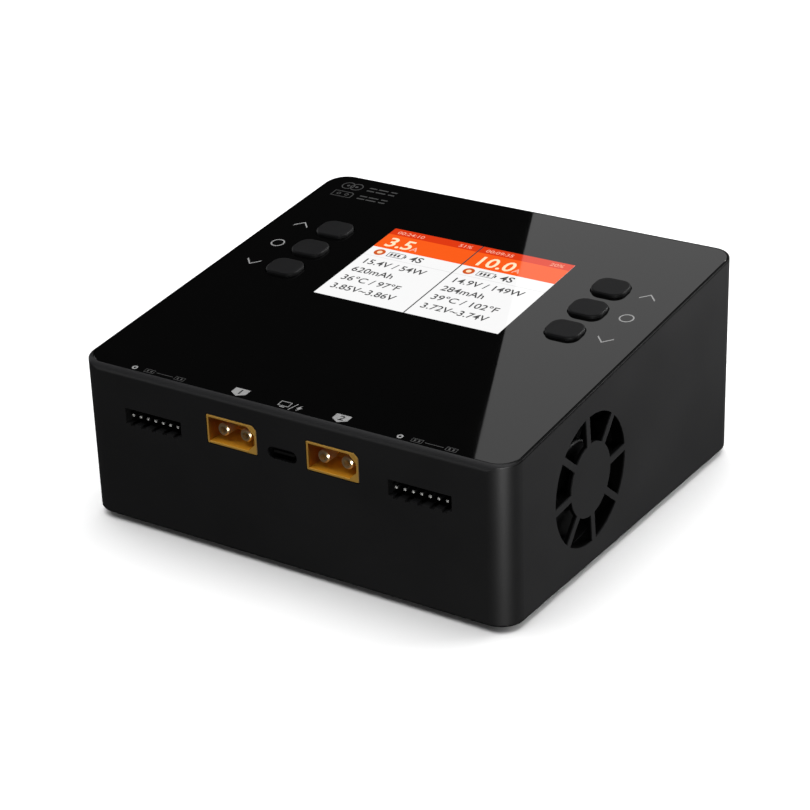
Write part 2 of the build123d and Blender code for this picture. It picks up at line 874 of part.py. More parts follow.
def board_standoffs():
    """Hexagonal standoffs, each with a stud down into a base post and a thread on top."""
    hexagon = RegularPolygon(standoff_across / 2, 6, major_radius=False)
    standoff = slab(hexagon, power_board_top, charge_board_bottom)
    standoff += rod(standoff_stud, power_board_top - standoff_stud_length, power_board_top)
    thread_bottom = charge_board_bottom - board_screw_length
    standoff -= rod(board_screw + 2 * pilot_clearance, thread_bottom, charge_board_bottom)
    return [Pos(x, y) * standoff for x, y in standoff_places]


def board_screws():
    """Four screws through the charge board into the standoffs, and two at the rear of the power board."""
    screw = self_tapper(board_screw, board_screw_length, board_screw_head, board_screw_head_height)
    upper = [Pos(x, y, charge_board_top) * screw for x, y in standoff_places]
    return upper + [Pos(x, y, power_board_top) * screw for x, y in rear_post_places]


def fan_frame():
    """Square frame with a round bore, four screw holes, a hub disc on three struts and a bearing seat."""
    outline = RectangleRounded(fan_size, fan_size, fan_corner) - Circle(fan_bore / 2)
    for place in fan_hole_places():
        outline -= Pos(*place) * Circle(fan_hole / 2)
    frame = slab(outline, 0, fan_depth)
    frame += rod(2 * rotor_hub_radius, 0, fan_hub_disc)
    for index in range(3):
        strut = Pos(fan_bore / 4, 0) * Rectangle(fan_bore / 2 + 1, fan_strut_width)
        frame += Rot(Z=30 + index * 120) * slab(strut, 0, fan_hub_disc)
    frame -= rod(bearing_diameter, fan_hub_disc / 2, fan_depth)
    return facing_right(frame, fan_inner_x, fan_y, fan_z)


def fan_bearing():
    """Sleeve bearing, standing in the frame's hub disc."""
    top = rotor_face_x - rotor_wall - 0.6 - fan_inner_x
    sleeve = rod(bearing_diameter, fan_hub_disc / 2, top)
    sleeve -= rod(shaft_diameter + 2 * shaft_clearance, fan_hub_disc / 2 + 0.4, top)
    return facing_right(sleeve, fan_inner_x, fan_y, fan_z)


def fan_stator():
    """Wound core on the bearing, inside the rotor's cup."""
    radius = rotor_hub_radius - rotor_wall - stator_gap
    core = Circle(radius) - Circle(bearing_diameter / 2)
    stator = slab(core, fan_hub_disc, rotor_face_x - rotor_wall - 1.2 - fan_inner_x)
    return facing_right(stator, fan_inner_x, fan_y, fan_z)


def fan_blade():
    """One twisted blade, reaching from the hub to the tip along +X, about the rotor's Z axis."""
    mid = rotor_depth / 2
    sections = []
    twist = ((rotor_hub_radius - 0.8, blade_root_angle), (rotor_radius + 1, blade_tip_angle))
    for radius, angle in twist:
        plane = Plane(origin=(radius, 0, mid), x_dir=(0, 1, 0), z_dir=(1, 0, 0))
        sections.append(plane * (Rot(Z=angle) * Rectangle(blade_chord, blade_thickness)))
    blade = loft(sections)
    sweep = Circle(rotor_radius) - Circle(rotor_hub_radius - rotor_wall / 2)
    return blade & slab(sweep, 0.5, rotor_depth - 0.5)


def fan_rotor():
    """Hub cup with its blades. The cup's face looks out through the grille."""
    rotor = rod(2 * rotor_hub_radius, 0, rotor_depth)
    rotor = fillet(rotor.faces().sort_by(Axis.Z)[-1].edges(), 0.8)
    rotor -= rod(2 * (rotor_hub_radius - rotor_wall), -1, rotor_depth - rotor_wall)
    blade = fan_blade()
    for index in range(rotor_blades):
        rotor += Rot(Z=index * 360 / rotor_blades) * blade
    return facing_right(rotor, rotor_back_x, fan_y, fan_z)


def fan_shaft():
    """Steel shaft pressed against the cup's face, running in the bearing."""
    shaft = rod(shaft_diameter, fan_inner_x + fan_hub_disc, rotor_face_x - rotor_wall)
    return facing_right(shaft, 0, fan_y, fan_z)


def fan_screws():
    """Four screws through the frame's corners into the pad on the wall."""
    screw = self_tapper(fan_screw, fan_depth + fan_screw_bite, fan_screw_head, fan_screw_head_height)
    screws = []
    for across, up in fan_hole_places():
        turned = Rot(Y=-90) * screw
        screws.append(Pos(fan_inner_x, fan_y + across, fan_z + up) * turned)
    return screws


def fan_lead():
    """Two wires from the fan's frame down to the power board."""
    wires = []
    edge_y = fan_y + fan_size / 2
    start_z = fan_z - fan_size / 4
    y = edge_y + seat_gap + lead_diameter / 2
    for index in (0, 1):
        x = fan_inner_x - fan_clearance - lead_diameter - index * lead_pitch
        z = start_z + index * lead_pitch
        path = FilletPolyline((fan_inner_x + 2, y, z), (x, y, z), (x, y, power_board_top), radius=1.4)
        wires.append(sweep(Plane(path @ 0, z_dir=path % 0) * Circle(lead_diameter / 2), path))
    return wires


def on_board(shape, x, y, z):
    """Stands a shape on a board."""
    return Pos(x, y, z) * shape


def block(size):
    """A box standing on z = 0."""
    return Box(*size, align=(Align.CENTER, Align.CENTER, Align.MIN))


def power_transistors():
    """A row of flat transistors under the heatsink."""
    half = (transistor_count - 1) / 2
    body = block(transistor_size)
    places = [heatsink_x + (index - half) * transistor_pitch for index in range(transistor_count)]
    return [on_board(body, x, heatsink_y, charge_board_top) for x in places]


def heatsink():
    """Finned aluminium block, fins along x, in the fan's air."""
    length, depth, height = heatsink_size
    sink = block((length, depth, height))
    pitch = (depth - heatsink_fin) / (heatsink_fins - 1)
    for index in range(heatsink_fins - 1):
        y = -depth / 2 + heatsink_fin + index * pitch + (pitch - heatsink_fin) / 2
        groove = block((length + 2, pitch - heatsink_fin, height))
        sink -= Pos(0, y, heatsink_base) * groove
    return on_board(sink, heatsink_x, heatsink_y, heatsink_bottom)


def storage_inductors():
    """Moulded inductors beside the heatsink."""
    inductor = block(inductor_size)
    inductor = chamfer(inductor.edges().filter_by(Axis.Z), 1.2)
    return [on_board(inductor, inductor_x, y, charge_board_top) for y in inductor_places_y]


def buzzer():
    """Round buzzer with its sound hole."""
    body = rod(buzzer_diameter, 0, buzzer_height) - rod(2.0, buzzer_height - 2, buzzer_height + 1)
    return on_board(body, *buzzer_place, charge_board_top)


def output_capacitors():
    """Four smoothing capacitors under the charge board."""
    can = rod(capacitor_diameter, 0, capacitor_height)
    can = fillet(can.edges().filter_by(GeomType.CIRCLE), 0.5)
    return [on_board(can, x, y, power_board_top) for x, y in capacitor_places]


def bulk_capacitor():
    """The mains reservoir capacitor."""
    can = rod(bulk_diameter, 0, bulk_height)
    can = fillet(can.edges().filter_by(GeomType.CIRCLE), 0.8)
    return on_board(can, *bulk_place, power_board_top)


def transformer_core():
    """E-shaped ferrite halves joined: a frame with a middle leg, windows along y."""
    width, depth, height = core_size
    core = block(core_size)
    window = (width - 3 * core_leg) / 2 + winding_thickness / 2
    for side in (-1, 1):
        opening = block((window, depth + 2, height - core_leg))
        core -= Pos(side * (core_leg / 2 + window / 2), 0, core_leg / 2) * opening
    return on_board(core, *core_place, power_board_top)


def transformer_winding():
    """Winding round the middle leg of the core."""
    _, depth, height = core_size
    inner = (core_leg + 2 * winding_gap, depth + 2 * winding_gap)
    outer = (core_leg + winding_thickness, depth + 2 * winding_thickness)
    coil = Rectangle(*outer) - Rectangle(*inner)
    low = core_leg / 2 + winding_gap
    return on_board(slab(coil, low, height - low), *core_place, power_board_top)


def line_choke():
    """Ring choke standing on edge on the power board."""
    ring = Rot(X=90) * Torus(choke_radius, choke_wire)
    return on_board(ring, *choke_place, power_board_top + choke_radius + choke_wire + seat_gap)


def fuse():
    """Glass fuse in its two clips."""
    tube = Rot(Y=90) * rod(fuse_diameter, -fuse_length / 2, fuse_length / 2)
    raised = Pos(0, 0, fuse_diameter / 2 + fuse_clip) * tube
    for side in (-1, 1):
        clip = block((5.0, fuse_diameter, fuse_diameter / 2 + fuse_clip))
        raised += Pos(side * (fuse_length / 2 - 2.6), 0, 0) * clip
    return on_board(raised, *fuse_place, power_board_top)


def front_pair(make, offset, z):
    """The left and right copy of a front port."""
    return {
        side: facing_front(make, ports_offset + sign * offset, front_y, z)
        for side, sign in (("left", -1), ("right", 1))
    }


def save(name, *shapes):
    """Writes one sub-part, which may be a group of separate solids."""
    solids = [solid for shape in shapes for solid in shape.solids()]
    export_step(solids[0] if len(solids) == 1 else Compound(children=solids), f"parts/{name}.step")


def save_case():
    """Case, base, panel and display."""
    save("housing_shell", housing_shell())
    save("base_cover", base_cover())
    save("rubber_feet", *rubber_feet())
    save("base_screws", *base_screws())
    save("top_panel", top_panel())
    save("display_window", display_window())
    save("display_module", display_module())
    save("display_tray", display_tray())


def save_controls():
    """Buttons, switches and the control board."""
    for name, x, s in button_places():
        save(f"button_{name}", button_cap(x, s))
        save(f"plunger_{name}", switch_plunger(x, s))
    save("switch_bodies", *switch_bodies())
    save("control_board", control_board())
    save("control_board_screws", *control_board_screws())
    save("ribbon_cable", ribbon_cable())
    save("ribbon_connectors", *ribbon_connectors())


def save_ports():
    """Front and rear ports."""
    for side, body in front_pair(two_pole_socket(), socket_x, socket_z).items():
        save(f"output_socket_{side}", body)
    for side, sign in (("left", -1), ("right", 1)):
        x = ports_offset + sign * socket_x
        pins = [facing_front(pin, x, front_y, socket_z) for pin in two_pole_pins()]
        save(f"output_pins_{side}", *pins)
        x = ports_offset + sign * header_x
        inner_y = front_y + wall
        save(f"balance_header_{side}", facing_front(balance_header(), x, inner_y, header_z))
        down = header_z - charge_board_bottom + header_pin_size
        pins = [facing_front(pin, x, inner_y, header_z) for pin in balance_pins(down)]
        save(f"balance_pins_{side}", *pins)
    port_y = front_y + data_port_recess
    save("data_port_shell", facing_front(data_port_shell(), data_port_x, port_y, data_port_z))
    save("data_port_tongue", facing_front(data_port_tongue(), data_port_x, port_y, data_port_z))
    save("mains_inlet", facing_rear(mains_inlet(), inlet_x, rear_y, inlet_z))
    save("mains_inlet_pins", *[facing_rear(pin, inlet_x, rear_y, inlet_z) for pin in mains_pins()])
    save("dc_input_socket", facing_rear(two_pole_socket(), dc_socket_x, rear_y, dc_socket_z))
    save("dc_input_pins", *[facing_rear(pin, dc_socket_x, rear_y, dc_socket_z) for pin in two_pole_pins()])


def save_fan():
    """The cooling fan."""
    save("fan_frame", fan_frame())
    save("fan_bearing", fan_bearing())
    save("fan_stator", fan_stator())
    save("fan_rotor", fan_rotor())
    save("fan_shaft", fan_shaft())
    save("fan_screws", *fan_screws())
    save("fan_lead", *fan_lead())


def save_boards():
    """Boards and what stands on them."""
    save("charge_board", charge_board())
    save("power_board", power_board())
    save("board_standoffs", *board_standoffs())
    save("board_screws", *board_screws())
    save("power_transistors", *power_transistors())
    save("heatsink", heatsink())
    save("storage_inductors", *storage_inductors())
    save("buzzer", buzzer())
    save("output_capacitors", *output_capacitors())
    save("bulk_capacitor", bulk_capacitor())
    save("transformer_core", transformer_core())
    save("transformer_winding", transformer_winding())
    save("line_choke", line_choke())
    save("fuse", fuse())


save_case()
save_controls()
save_ports()
save_fan()
save_boards()
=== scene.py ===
"""Balance battery charger: finishes, lit screen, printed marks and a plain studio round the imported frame."""

import json
import logging
import math
from dataclasses import dataclass
from enum import Enum
from typing import Iterable, Optional, Sequence

import bmesh
import bpy
from mathutils import Matrix, Vector


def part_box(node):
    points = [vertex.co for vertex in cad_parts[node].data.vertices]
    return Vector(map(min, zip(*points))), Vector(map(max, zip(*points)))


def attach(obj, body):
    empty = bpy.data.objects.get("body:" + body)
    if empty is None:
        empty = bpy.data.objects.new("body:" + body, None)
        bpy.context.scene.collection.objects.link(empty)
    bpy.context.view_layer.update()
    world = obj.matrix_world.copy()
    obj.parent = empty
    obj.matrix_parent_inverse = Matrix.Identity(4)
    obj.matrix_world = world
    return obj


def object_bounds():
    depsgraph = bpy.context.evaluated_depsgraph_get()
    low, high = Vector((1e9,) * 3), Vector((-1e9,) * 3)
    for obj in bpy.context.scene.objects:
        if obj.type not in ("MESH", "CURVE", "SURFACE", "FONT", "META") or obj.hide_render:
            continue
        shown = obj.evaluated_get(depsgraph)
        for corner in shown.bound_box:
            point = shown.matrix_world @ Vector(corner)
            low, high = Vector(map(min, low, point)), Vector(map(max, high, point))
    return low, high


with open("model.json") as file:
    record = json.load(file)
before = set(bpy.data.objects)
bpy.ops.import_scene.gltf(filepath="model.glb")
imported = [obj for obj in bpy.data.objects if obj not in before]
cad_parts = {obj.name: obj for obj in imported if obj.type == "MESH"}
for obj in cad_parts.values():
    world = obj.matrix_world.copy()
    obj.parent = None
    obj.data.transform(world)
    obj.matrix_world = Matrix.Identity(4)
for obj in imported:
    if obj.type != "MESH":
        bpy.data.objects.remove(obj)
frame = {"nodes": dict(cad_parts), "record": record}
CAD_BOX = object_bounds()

MM = 0.001
Point = tuple[float, float]
Point3 = tuple[float, float, float]

# Levels between which the noise of a finish mostly runs, and how many octaves its two noises have.
NOISE_LOW, NOISE_HIGH = 0.3, 0.7
PATCH_DETAIL, GRAIN_DETAIL = 3.0, 2.0
# Corners of a printed ring, and the distance below which two corners of a letter are one.
RING_CORNERS = 48
SAME_SPOT = 1e-4

log = logging.getLogger("charger")


# ---------------------------------------------------------------- colours, nodes and finishes
def srgb(code: str) -> tuple[float, float, float, float]:
    """Turns an sRGB hex colour into linear RGBA.

    Args:
        code: six hex digits with a leading hash.

    Returns:
        The colour in scene-linear values, with an alpha of 1.
    """
    parts = [int(code[start:start + 2], 16) / 255 for start in (1, 3, 5)]
    linear = [v / 12.92 if v <= 0.04045 else ((v + 0.055) / 1.055) ** 2.4 for v in parts]
    return (*linear, 1.0)


def add_node(tree: bpy.types.NodeTree, kind: str, links: Optional[dict] = None,
             **settings) -> bpy.types.Node:
    """Adds one shader node with its settings and its inputs.

    Args:
        tree: the material's node tree.
        kind: Blender's node type name.
        links: input name or index to a socket that feeds it, or to a plain value.
        settings: properties of the node itself.

    Returns:
        The new node.
    """
    made = tree.nodes.new(kind)
    for name, value in settings.items():
        setattr(made, name, value)
    for name, value in (links or {}).items():
        if isinstance(value, bpy.types.NodeSocket):
            tree.links.new(value, made.inputs[name])
        else:
            made.inputs[name].default_value = value
    return made


def grain(size_mm: float) -> float:
    """Turns a size of features into a noise scale.

    Args:
        size_mm: the size in millimetres.

    Returns:
        The scale, per metre.
    """
    return 1.0 / (size_mm * MM)


@dataclass(frozen=True)
class Finish:
    """A surface finish: two close colours mixed by noise, a roughness that drifts, and a fine bump.

    Attributes:
        name: what the material is and how its surface was made.
        dark: the darker of its two colours, sRGB hex.
        light: the lighter one.
        roughness: its middle roughness.
        drift: how far the roughness drifts either way.
        grain_mm: size of the bump's features.
        grain_depth: height of the bump in millimetres.
        patch_mm: size of the patches of colour and roughness.
        metallic: 1 for bare metal.
        ior: index of refraction of a non-metal.
        specular: share of the reflection that the index gives, 0.5 for all of it.
    """

    name: str
    dark: str
    light: str
    roughness: float
    drift: float = 0.04
    grain_mm: float = 0.4
    grain_depth: float = 0.01
    patch_mm: float = 18.0
    metallic: float = 0.0
    ior: float = 1.5
    specular: float = 0.5

    def build(self) -> bpy.types.Material:
        """Makes the material, once.

        Returns:
            The material with this finish's name.
        """
        known = bpy.data.materials.get(self.name)
        if known:
            return known
        material = bpy.data.materials.new(self.name)
        material.use_nodes = True
        tree = material.node_tree
        tree.nodes.clear()
        place = add_node(tree, "ShaderNodeTexCoord").outputs["Object"]
        patches = add_node(tree, "ShaderNodeTexNoise", {
            "Vector": place, "Scale": grain(self.patch_mm), "Detail": PATCH_DETAIL,
        })
        fine = add_node(tree, "ShaderNodeTexNoise", {
            "Vector": place, "Scale": grain(self.grain_mm), "Detail": GRAIN_DETAIL,
        })
        speckle = add_node(tree, "ShaderNodeMath", {
            0: patches.outputs["Fac"], 1: fine.outputs["Fac"],
        }, operation="MULTIPLY")
        colour = add_node(tree, "ShaderNodeMix", {"Factor": speckle.outputs[0]}, data_type="RGBA")
        colour.inputs["A"].default_value = srgb(self.dark)
        colour.inputs["B"].default_value = srgb(self.light)
        rough = add_node(tree, "ShaderNodeMapRange", {
            "Value": patches.outputs["Fac"], "From Min": NOISE_LOW, "From Max": NOISE_HIGH,
            "To Min": self.roughness - self.drift, "To Max": self.roughness + self.drift,
        })
        bump = add_node(tree, "ShaderNodeBump", {
            "Height": fine.outputs["Fac"], "Strength": 1.0, "Distance": self.grain_depth * MM,
        })
        shader = add_node(tree, "ShaderNodeBsdfPrincipled", {
            "Base Color": colour.outputs["Result"], "Roughness": rough.outputs[0], "Normal": bump.outputs[0],
            "Metallic": self.metallic, "IOR": self.ior, "Specular IOR Level": self.specular,
        })
        self.finish_shader(tree, shader, place)
        add_node(tree, "ShaderNodeOutputMaterial", {"Surface": shader.outputs[0]})
        return material

    def finish_shader(self, tree: bpy.types.NodeTree, shader: bpy.types.Node,
                      place: bpy.types.NodeSocket) -> None:
        """Lets a special finish add to the shader. A plain finish adds nothing.

        Args:
            tree: the material's node tree.
            shader: its principled shader, with every input already set or linked.
            place: position on the piece in its own coordinates, which are the frame's.
        """


@dataclass(frozen=True)
class LitFinish(Finish):
    """A lit part of the screen, as glossy as the pane that it shines through.

    Attributes:
        shine: the colour that it shines with, sRGB hex.
    """

    drift: float = 0.006
    grain_mm: float = 6.0
    grain_depth: float = 0.0002
    patch_mm: float = 30.0
    shine: str = "#ffffff"

    def finish_shader(self, tree: bpy.types.NodeTree, shader: bpy.types.Node,
                      place: bpy.types.NodeSocket) -> None:
        """Adds the screen's own light.

        Args:
            tree: the material's node tree.
            shader: its principled shader.
            place: position on the piece.
        """
        shader.inputs["Emission Color"].default_value = srgb(self.shine)
        shader.inputs["Emission Strength"].default_value = 1.0


@dataclass(frozen=True)
class TippedFinish(Finish):
    """A finish with a painted highlight towards the front face: paler there, with its own metallic level, on
    pins' fronts and on a socket's rim.

    Attributes:
        tip: colour of the painted highlight at the front, sRGB hex.
        tip_from_front: how far behind the case's front face that colour ends, in millimetres.
        tip_metallic: how metallic the front looks.
        tip_blur: half the width of the change, in millimetres.
    """

    tip: str = "#f4f4f0"
    tip_from_front: float = 1.3
    tip_metallic: float = 0.35
    tip_blur: float = 0.1

    def finish_shader(self, tree: bpy.types.NodeTree, shader: bpy.types.Node,
                      place: bpy.types.NodeSocket) -> None:
        """Mixes in the painted highlight by the distance behind the case's front face.

        Args:
            tree: the material's node tree.
            shader: its principled shader.
            place: position on the piece.
        """
        blur = self.tip_blur * MM
        edge = CAD_BOX[0][1] + self.tip_from_front * MM
        axes = add_node(tree, "ShaderNodeSeparateXYZ", {"Vector": place})
        painted_highlight_mask = add_node(tree, "ShaderNodeMapRange", {
            "Value": axes.outputs["Y"], "From Min": edge + blur, "From Max": edge - blur,
        })
        # The front is painted paler and given its own metallic level: a painted highlight.
        colour = add_node(tree, "ShaderNodeMix", {
            "Factor": painted_highlight_mask.outputs[0], "A": shader.inputs["Base Color"].links[0].from_socket,
        }, data_type="RGBA")
        colour.inputs["B"].default_value = srgb(self.tip)
        metal = add_node(tree, "ShaderNodeMapRange", {
            "Value": painted_highlight_mask.outputs[0], "To Min": self.metallic, "To Max": self.tip_metallic,
        })
        tree.links.new(colour.outputs["Result"], shader.inputs["Base Color"])
        tree.links.new(metal.outputs[0], shader.inputs["Metallic"])


@dataclass(frozen=True)
class CaseFinish(Finish):
    """The case's moulding, with painted shade on its rim round the panel and on the walls of its fan grille: a
    deeper black there.

    Attributes:
        rim_depth: how far below the panel's surface the painted shade on the smooth rim ends, in millimetres.
        rim_blur: half the width of the change at that depth, in millimetres.
        rim_from_front: where it starts behind the case's front face, in millimetres.
        front_blur: half the width of the change there, in millimetres.
        wall_depth: how far behind the side face the painted shade on the grille's walls starts, in
            millimetres.
        wall_blur: half the width of that change, in millimetres.
        wall_reach: how far round the fan's axis that goes, in millimetres.
        deep: colour of the painted shade in those places, sRGB hex.
        deep_specular: specular level of the painted shade, lower so that it dulls the highlight there.
    """

    rim_depth: float = 0.6
    rim_blur: float = 0.15
    rim_from_front: float = 4.0
    front_blur: float = 1.5
    wall_depth: float = 0.35
    wall_blur: float = 0.1
    wall_reach: float = 21.0
    # Painted shade: a near-black colour for the rim round the panel and the grille's walls.
    deep: str = "#060606"
    deep_specular: float = 0.06

    def finish_shader(self, tree: bpy.types.NodeTree, shader: bpy.types.Node,
                      place: bpy.types.NodeSocket) -> None:
        """Mixes in the painted shade, a deeper black with less specular, by height on the panel's slope and
        distance from the fan's axis.

        Args:
            tree: the material's node tree.
            shader: its principled shader.
            place: position on the piece.
        """
        axes = add_node(tree, "ShaderNodeSeparateXYZ", {"Vector": place})
        deep = add_node(tree, "ShaderNodeMath", {
            0: self.rim(tree, axes, place), 1: self.grille_walls(tree, axes),
        }, operation="MAXIMUM")
        colour = add_node(tree, "ShaderNodeMix", {
            "Factor": deep.outputs[0], "A": shader.inputs["Base Color"].links[0].from_socket,
        }, data_type="RGBA")
        colour.inputs["B"].default_value = srgb(self.deep)
        gloss = add_node(tree, "ShaderNodeMapRange", {
            "Value": deep.outputs[0], "To Min": self.specular, "To Max": self.deep_specular,
        })
        tree.links.new(colour.outputs["Result"], shader.inputs["Base Color"])
        tree.links.new(gloss.outputs[0], shader.inputs["Specular IOR Level"])

    def step(self, tree: bpy.types.NodeTree, value: bpy.types.NodeSocket, edge: float,
             blur: float) -> bpy.types.NodeSocket:
        """Rises from 0 to 1 as a value passes an edge.

        Args:
            tree: the material's node tree.
            value: the value, in metres.
            edge: where it is halfway, in metres.
            blur: half the width of the rise, in metres.

        Returns:
            The rising value.
        """
        made = add_node(tree, "ShaderNodeMapRange", {
            "Value": value, "From Min": edge - blur, "From Max": edge + blur,
        })
        return made.outputs[0]

    def rim(self, tree: bpy.types.NodeTree, axes: bpy.types.Node,
            place: bpy.types.NodeSocket) -> bpy.types.NodeSocket:
        """Marks where the painted shade goes on the rim round the panel, except along the front.

        Args:
            tree: the material's node tree.
            axes: the node that gives the position's coordinates one by one.
            place: position on the case.

        Returns:
            A value that is 1 on the rim and 0 elsewhere.
        """
        plane = SlopePlane()
        level = add_node(tree, "ShaderNodeVectorMath", {0: place, 1: tuple(plane.out)},
                         operation="DOT_PRODUCT")
        top = plane.out.dot(plane.origin) - self.rim_depth * MM
        start = CAD_BOX[0][1] + self.rim_from_front * MM
        both = add_node(tree, "ShaderNodeMath", {
            0: self.step(tree, level.outputs["Value"], top, self.rim_blur * MM),
            1: self.step(tree, axes.outputs["Y"], start, self.front_blur * MM),
        }, operation="MULTIPLY")
        return both.outputs[0]

    def grille_walls(self, tree: bpy.types.NodeTree, axes: bpy.types.Node) -> bpy.types.NodeSocket:
        """Marks where the painted shade goes on the walls of the grille's holes, behind the side face.

        Args:
            tree: the material's node tree.
            axes: the node that gives the position's coordinates one by one.

        Returns:
            A value that is 1 on those walls and 0 elsewhere.
        """
        low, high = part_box("fan_frame")
        radii = []
        for axis, start, end in (("Y", low[1], high[1]), ("Z", low[2], high[2])):
            offset = add_node(tree, "ShaderNodeMath", {0: axes.outputs[axis], 1: (start + end) / 2},
                              operation="SUBTRACT")
            square = add_node(tree, "ShaderNodeMath", {0: offset.outputs[0], 1: 2.0}, operation="POWER")
            radii.append(square.outputs[0])
        reach = add_node(tree, "ShaderNodeMath", {0: radii[0], 1: radii[1]}, operation="ADD")
        near = add_node(tree, "ShaderNodeMath", {
            0: reach.outputs[0], 1: (self.wall_reach * MM) ** 2,
        }, operation="LESS_THAN")
        face = CAD_BOX[1][0] - self.wall_depth * MM
        outside = self.step(tree, axes.outputs["X"], face, self.wall_blur * MM)
        behind = add_node(tree, "ShaderNodeMath", {0: near.outputs[0], 1: outside},
                          operation="SUBTRACT", use_clamp=True)
        right_half = self.step(tree, axes.outputs["X"], 0.0, self.wall_blur * MM)
        wall = add_node(tree, "ShaderNodeMath", {0: behind.outputs[0], 1: right_half},
                        operation="MULTIPLY")
        return wall.outputs[0]


class Finishes(Enum):
    """Every finish on the charger, by the record's material slot or by the print it is for."""

    # ABS moulded in a spark-eroded tool: a soft black with a grain that breaks up every highlight.
    # The grain is drawn at about twice its real size, so that it shows.
    # Its rim round the panel and the walls of its grille get painted shade, a deeper black with less specular.
    case_plastic = CaseFinish("moulded_abs_black", "#1c1c1d", "#222223", 0.5, 0.03, 0.55, 0.012, 25.0,
                              specular=0.45)
    # Cast acrylic sheet, flame polished: near-mirror black with hardly any haze.
    panel_gloss = Finish("cast_acrylic_black", "#030303", "#040404", 0.02, 0.006, 6.0, 0.0002, 30.0, ior=1.49)
    # Backlit panel behind clear acrylic: an even white glow under a sharp gloss.
    display_lit = LitFinish("lit_screen_white", "#505050", "#585858", 0.025, shine="#ececec")
    # Silicone-painted ABS caps: flatter than the case, so they stay dark next to the gloss.
    button_plastic = Finish("painted_abs_keys", "#0a0a0b", "#0f0f10", 0.58, 0.03, 0.35, 0.008, 12.0,
                            specular=0.24)
    # Natural nylon moulding: milky, with a waxy sheen.
    plunger_plastic = Finish("moulded_nylon_natural", "#b8b4a8", "#cfcbbf", 0.45)
    # Glass-filled amber nylon: warm and slightly waxy, with a soft sheen. Its rim is painted paler: a painted
    # highlight along its front edge.
    socket_yellow = TippedFinish("moulded_nylon_amber", "#d08c1c", "#e8aa40", 0.34, 0.05, 0.5, 0.006, 5.0,
                                 ior=1.53, tip="#ecb654", tip_from_front=0.2, tip_metallic=0.0)
    # Black nylon, dead flat. Its near-black colour is partly painted shade, darker than the nylon, so that the
    # sockets read as shaded holes.
    socket_black = Finish("moulded_nylon_black", "#030303", "#050505", 0.6, 0.04, 0.4, 0.006, 8.0,
                          specular=0.25)
    # Gold plate over turned brass: satin and warm. Its front is painted paler and less metallic: a painted
    # highlight.
    contact_gold = TippedFinish("gold_plated_brass", "#c8a050", "#e0b868", 0.32, 0.05, 0.3, 0.002, 2.0,
                                metallic=1.0, tip="#f6deb0", tip_from_front=9.0, tip_metallic=0.85)
    # Nickel-plated square wire: a dull grey shaft. Its tinned end is painted near white and partly non-metal:
    # a painted highlight that makes a pale dot.
    contact_tin = TippedFinish("tinned_nickel_pins", "#2e2e30", "#3c3c3e", 0.5, 0.05, 0.2, 0.002, 1.5,
                               metallic=1.0)
    # Deep-drawn steel, blackened: dark metal that hides in its slot.
    port_steel = Finish("blackened_steel", "#2a2a2c", "#38383a", 0.4, 0.05, 0.3, 0.003, 3.0, metallic=1.0)
    # Black zinc plate: dark metal with an oily gleam.
    screw_steel = Finish("black_zinc_steel", "#2c2c2e", "#3a3a3d", 0.38, 0.06, 0.25, 0.004, 2.0, metallic=1.0)
    # Brass as it leaves the lathe: warm with a bright spin.
    bearing_brass = Finish("turned_brass", "#a8863f", "#c09c50", 0.3, 0.05, 0.3, 0.003, 3.0, metallic=1.0)
    # Extruded aluminium, bare: pale satin grey.
    heatsink_aluminium = Finish("extruded_aluminium", "#a9abae", "#c2c4c7", 0.35, 0.06, 0.5, 0.005, 6.0,
                                metallic=1.0)
    # Solder mask over glass cloth: dark green, wet-looking, with a faint weave-sized ripple.
    board_green = Finish("solder_mask_green", "#0b3a1c", "#0f4824", 0.3, 0.06, 0.8, 0.004, 7.0)
    # White ABS: soft off-white.
    white_plastic = Finish("moulded_abs_white", "#c8c8c4", "#dcdcd8", 0.4)
    # PVC flat cable: mid grey and slightly soft.
    ribbon_grey = Finish("ribbon_pvc_grey", "#7c7c7e", "#8d8d90", 0.45)
    # PVC wire insulation: deep red with a smooth skin.
    lead_insulation = Finish("wire_pvc_red", "#5c0c0a", "#701210", 0.42)
    # Glass-filled polyester of the fan: near black with a dull sheen.
    fan_plastic = Finish("glass_filled_pbt_black", "#050506", "#09090a", 0.5, 0.04, 0.4, 0.006, 6.0,
                         specular=0.16)
    # Enamelled copper wire: red-brown under a clear varnish.
    winding_copper = Finish("enamelled_copper", "#7c3a18", "#9a5024", 0.28, 0.05, 0.5, 0.01, 2.0,
                            metallic=1.0)
    # Polyester tape over the winding: smooth yellow film.
    winding_tape = Finish("polyester_tape_yellow", "#a8860c", "#c6a218", 0.3)
    # Sintered ferrite: dull dark grey, like fired clay.
    ferrite_grey = Finish("sintered_ferrite", "#1a1a1c", "#242427", 0.6, 0.05, 0.3, 0.01, 4.0)
    # Heat-shrunk PVC sleeve: tight, dark and glossy.
    capacitor_sleeve = Finish("pvc_sleeve_black", "#0c0e16", "#12151f", 0.25)
    # Drawn glass tube: smooth and pale.
    fuse_glass = Finish("drawn_glass", "#8fa0a0", "#a5b4b4", 0.1)
    # Moulded rubber: flat black that takes no highlight.
    foot_rubber = Finish("moulded_rubber", "#0e0e0e", "#151515", 0.75, 0.05, 0.3, 0.015, 5.0)
    # Screen print: thin ink, a little chalky next to the gloss, in three greys.
    ink_pale = Finish("screen_ink_pale", "#808080", "#929292", 0.4, 0.05, 0.3, 0.001, 3.0)
    ink_grey = Finish("screen_ink_grey", "#343434", "#404040", 0.4, 0.05, 0.3, 0.001, 3.0)
    ink_black = Finish("screen_ink_black", "#101010", "#161616", 0.4, 0.05, 0.3, 0.001, 3.0)
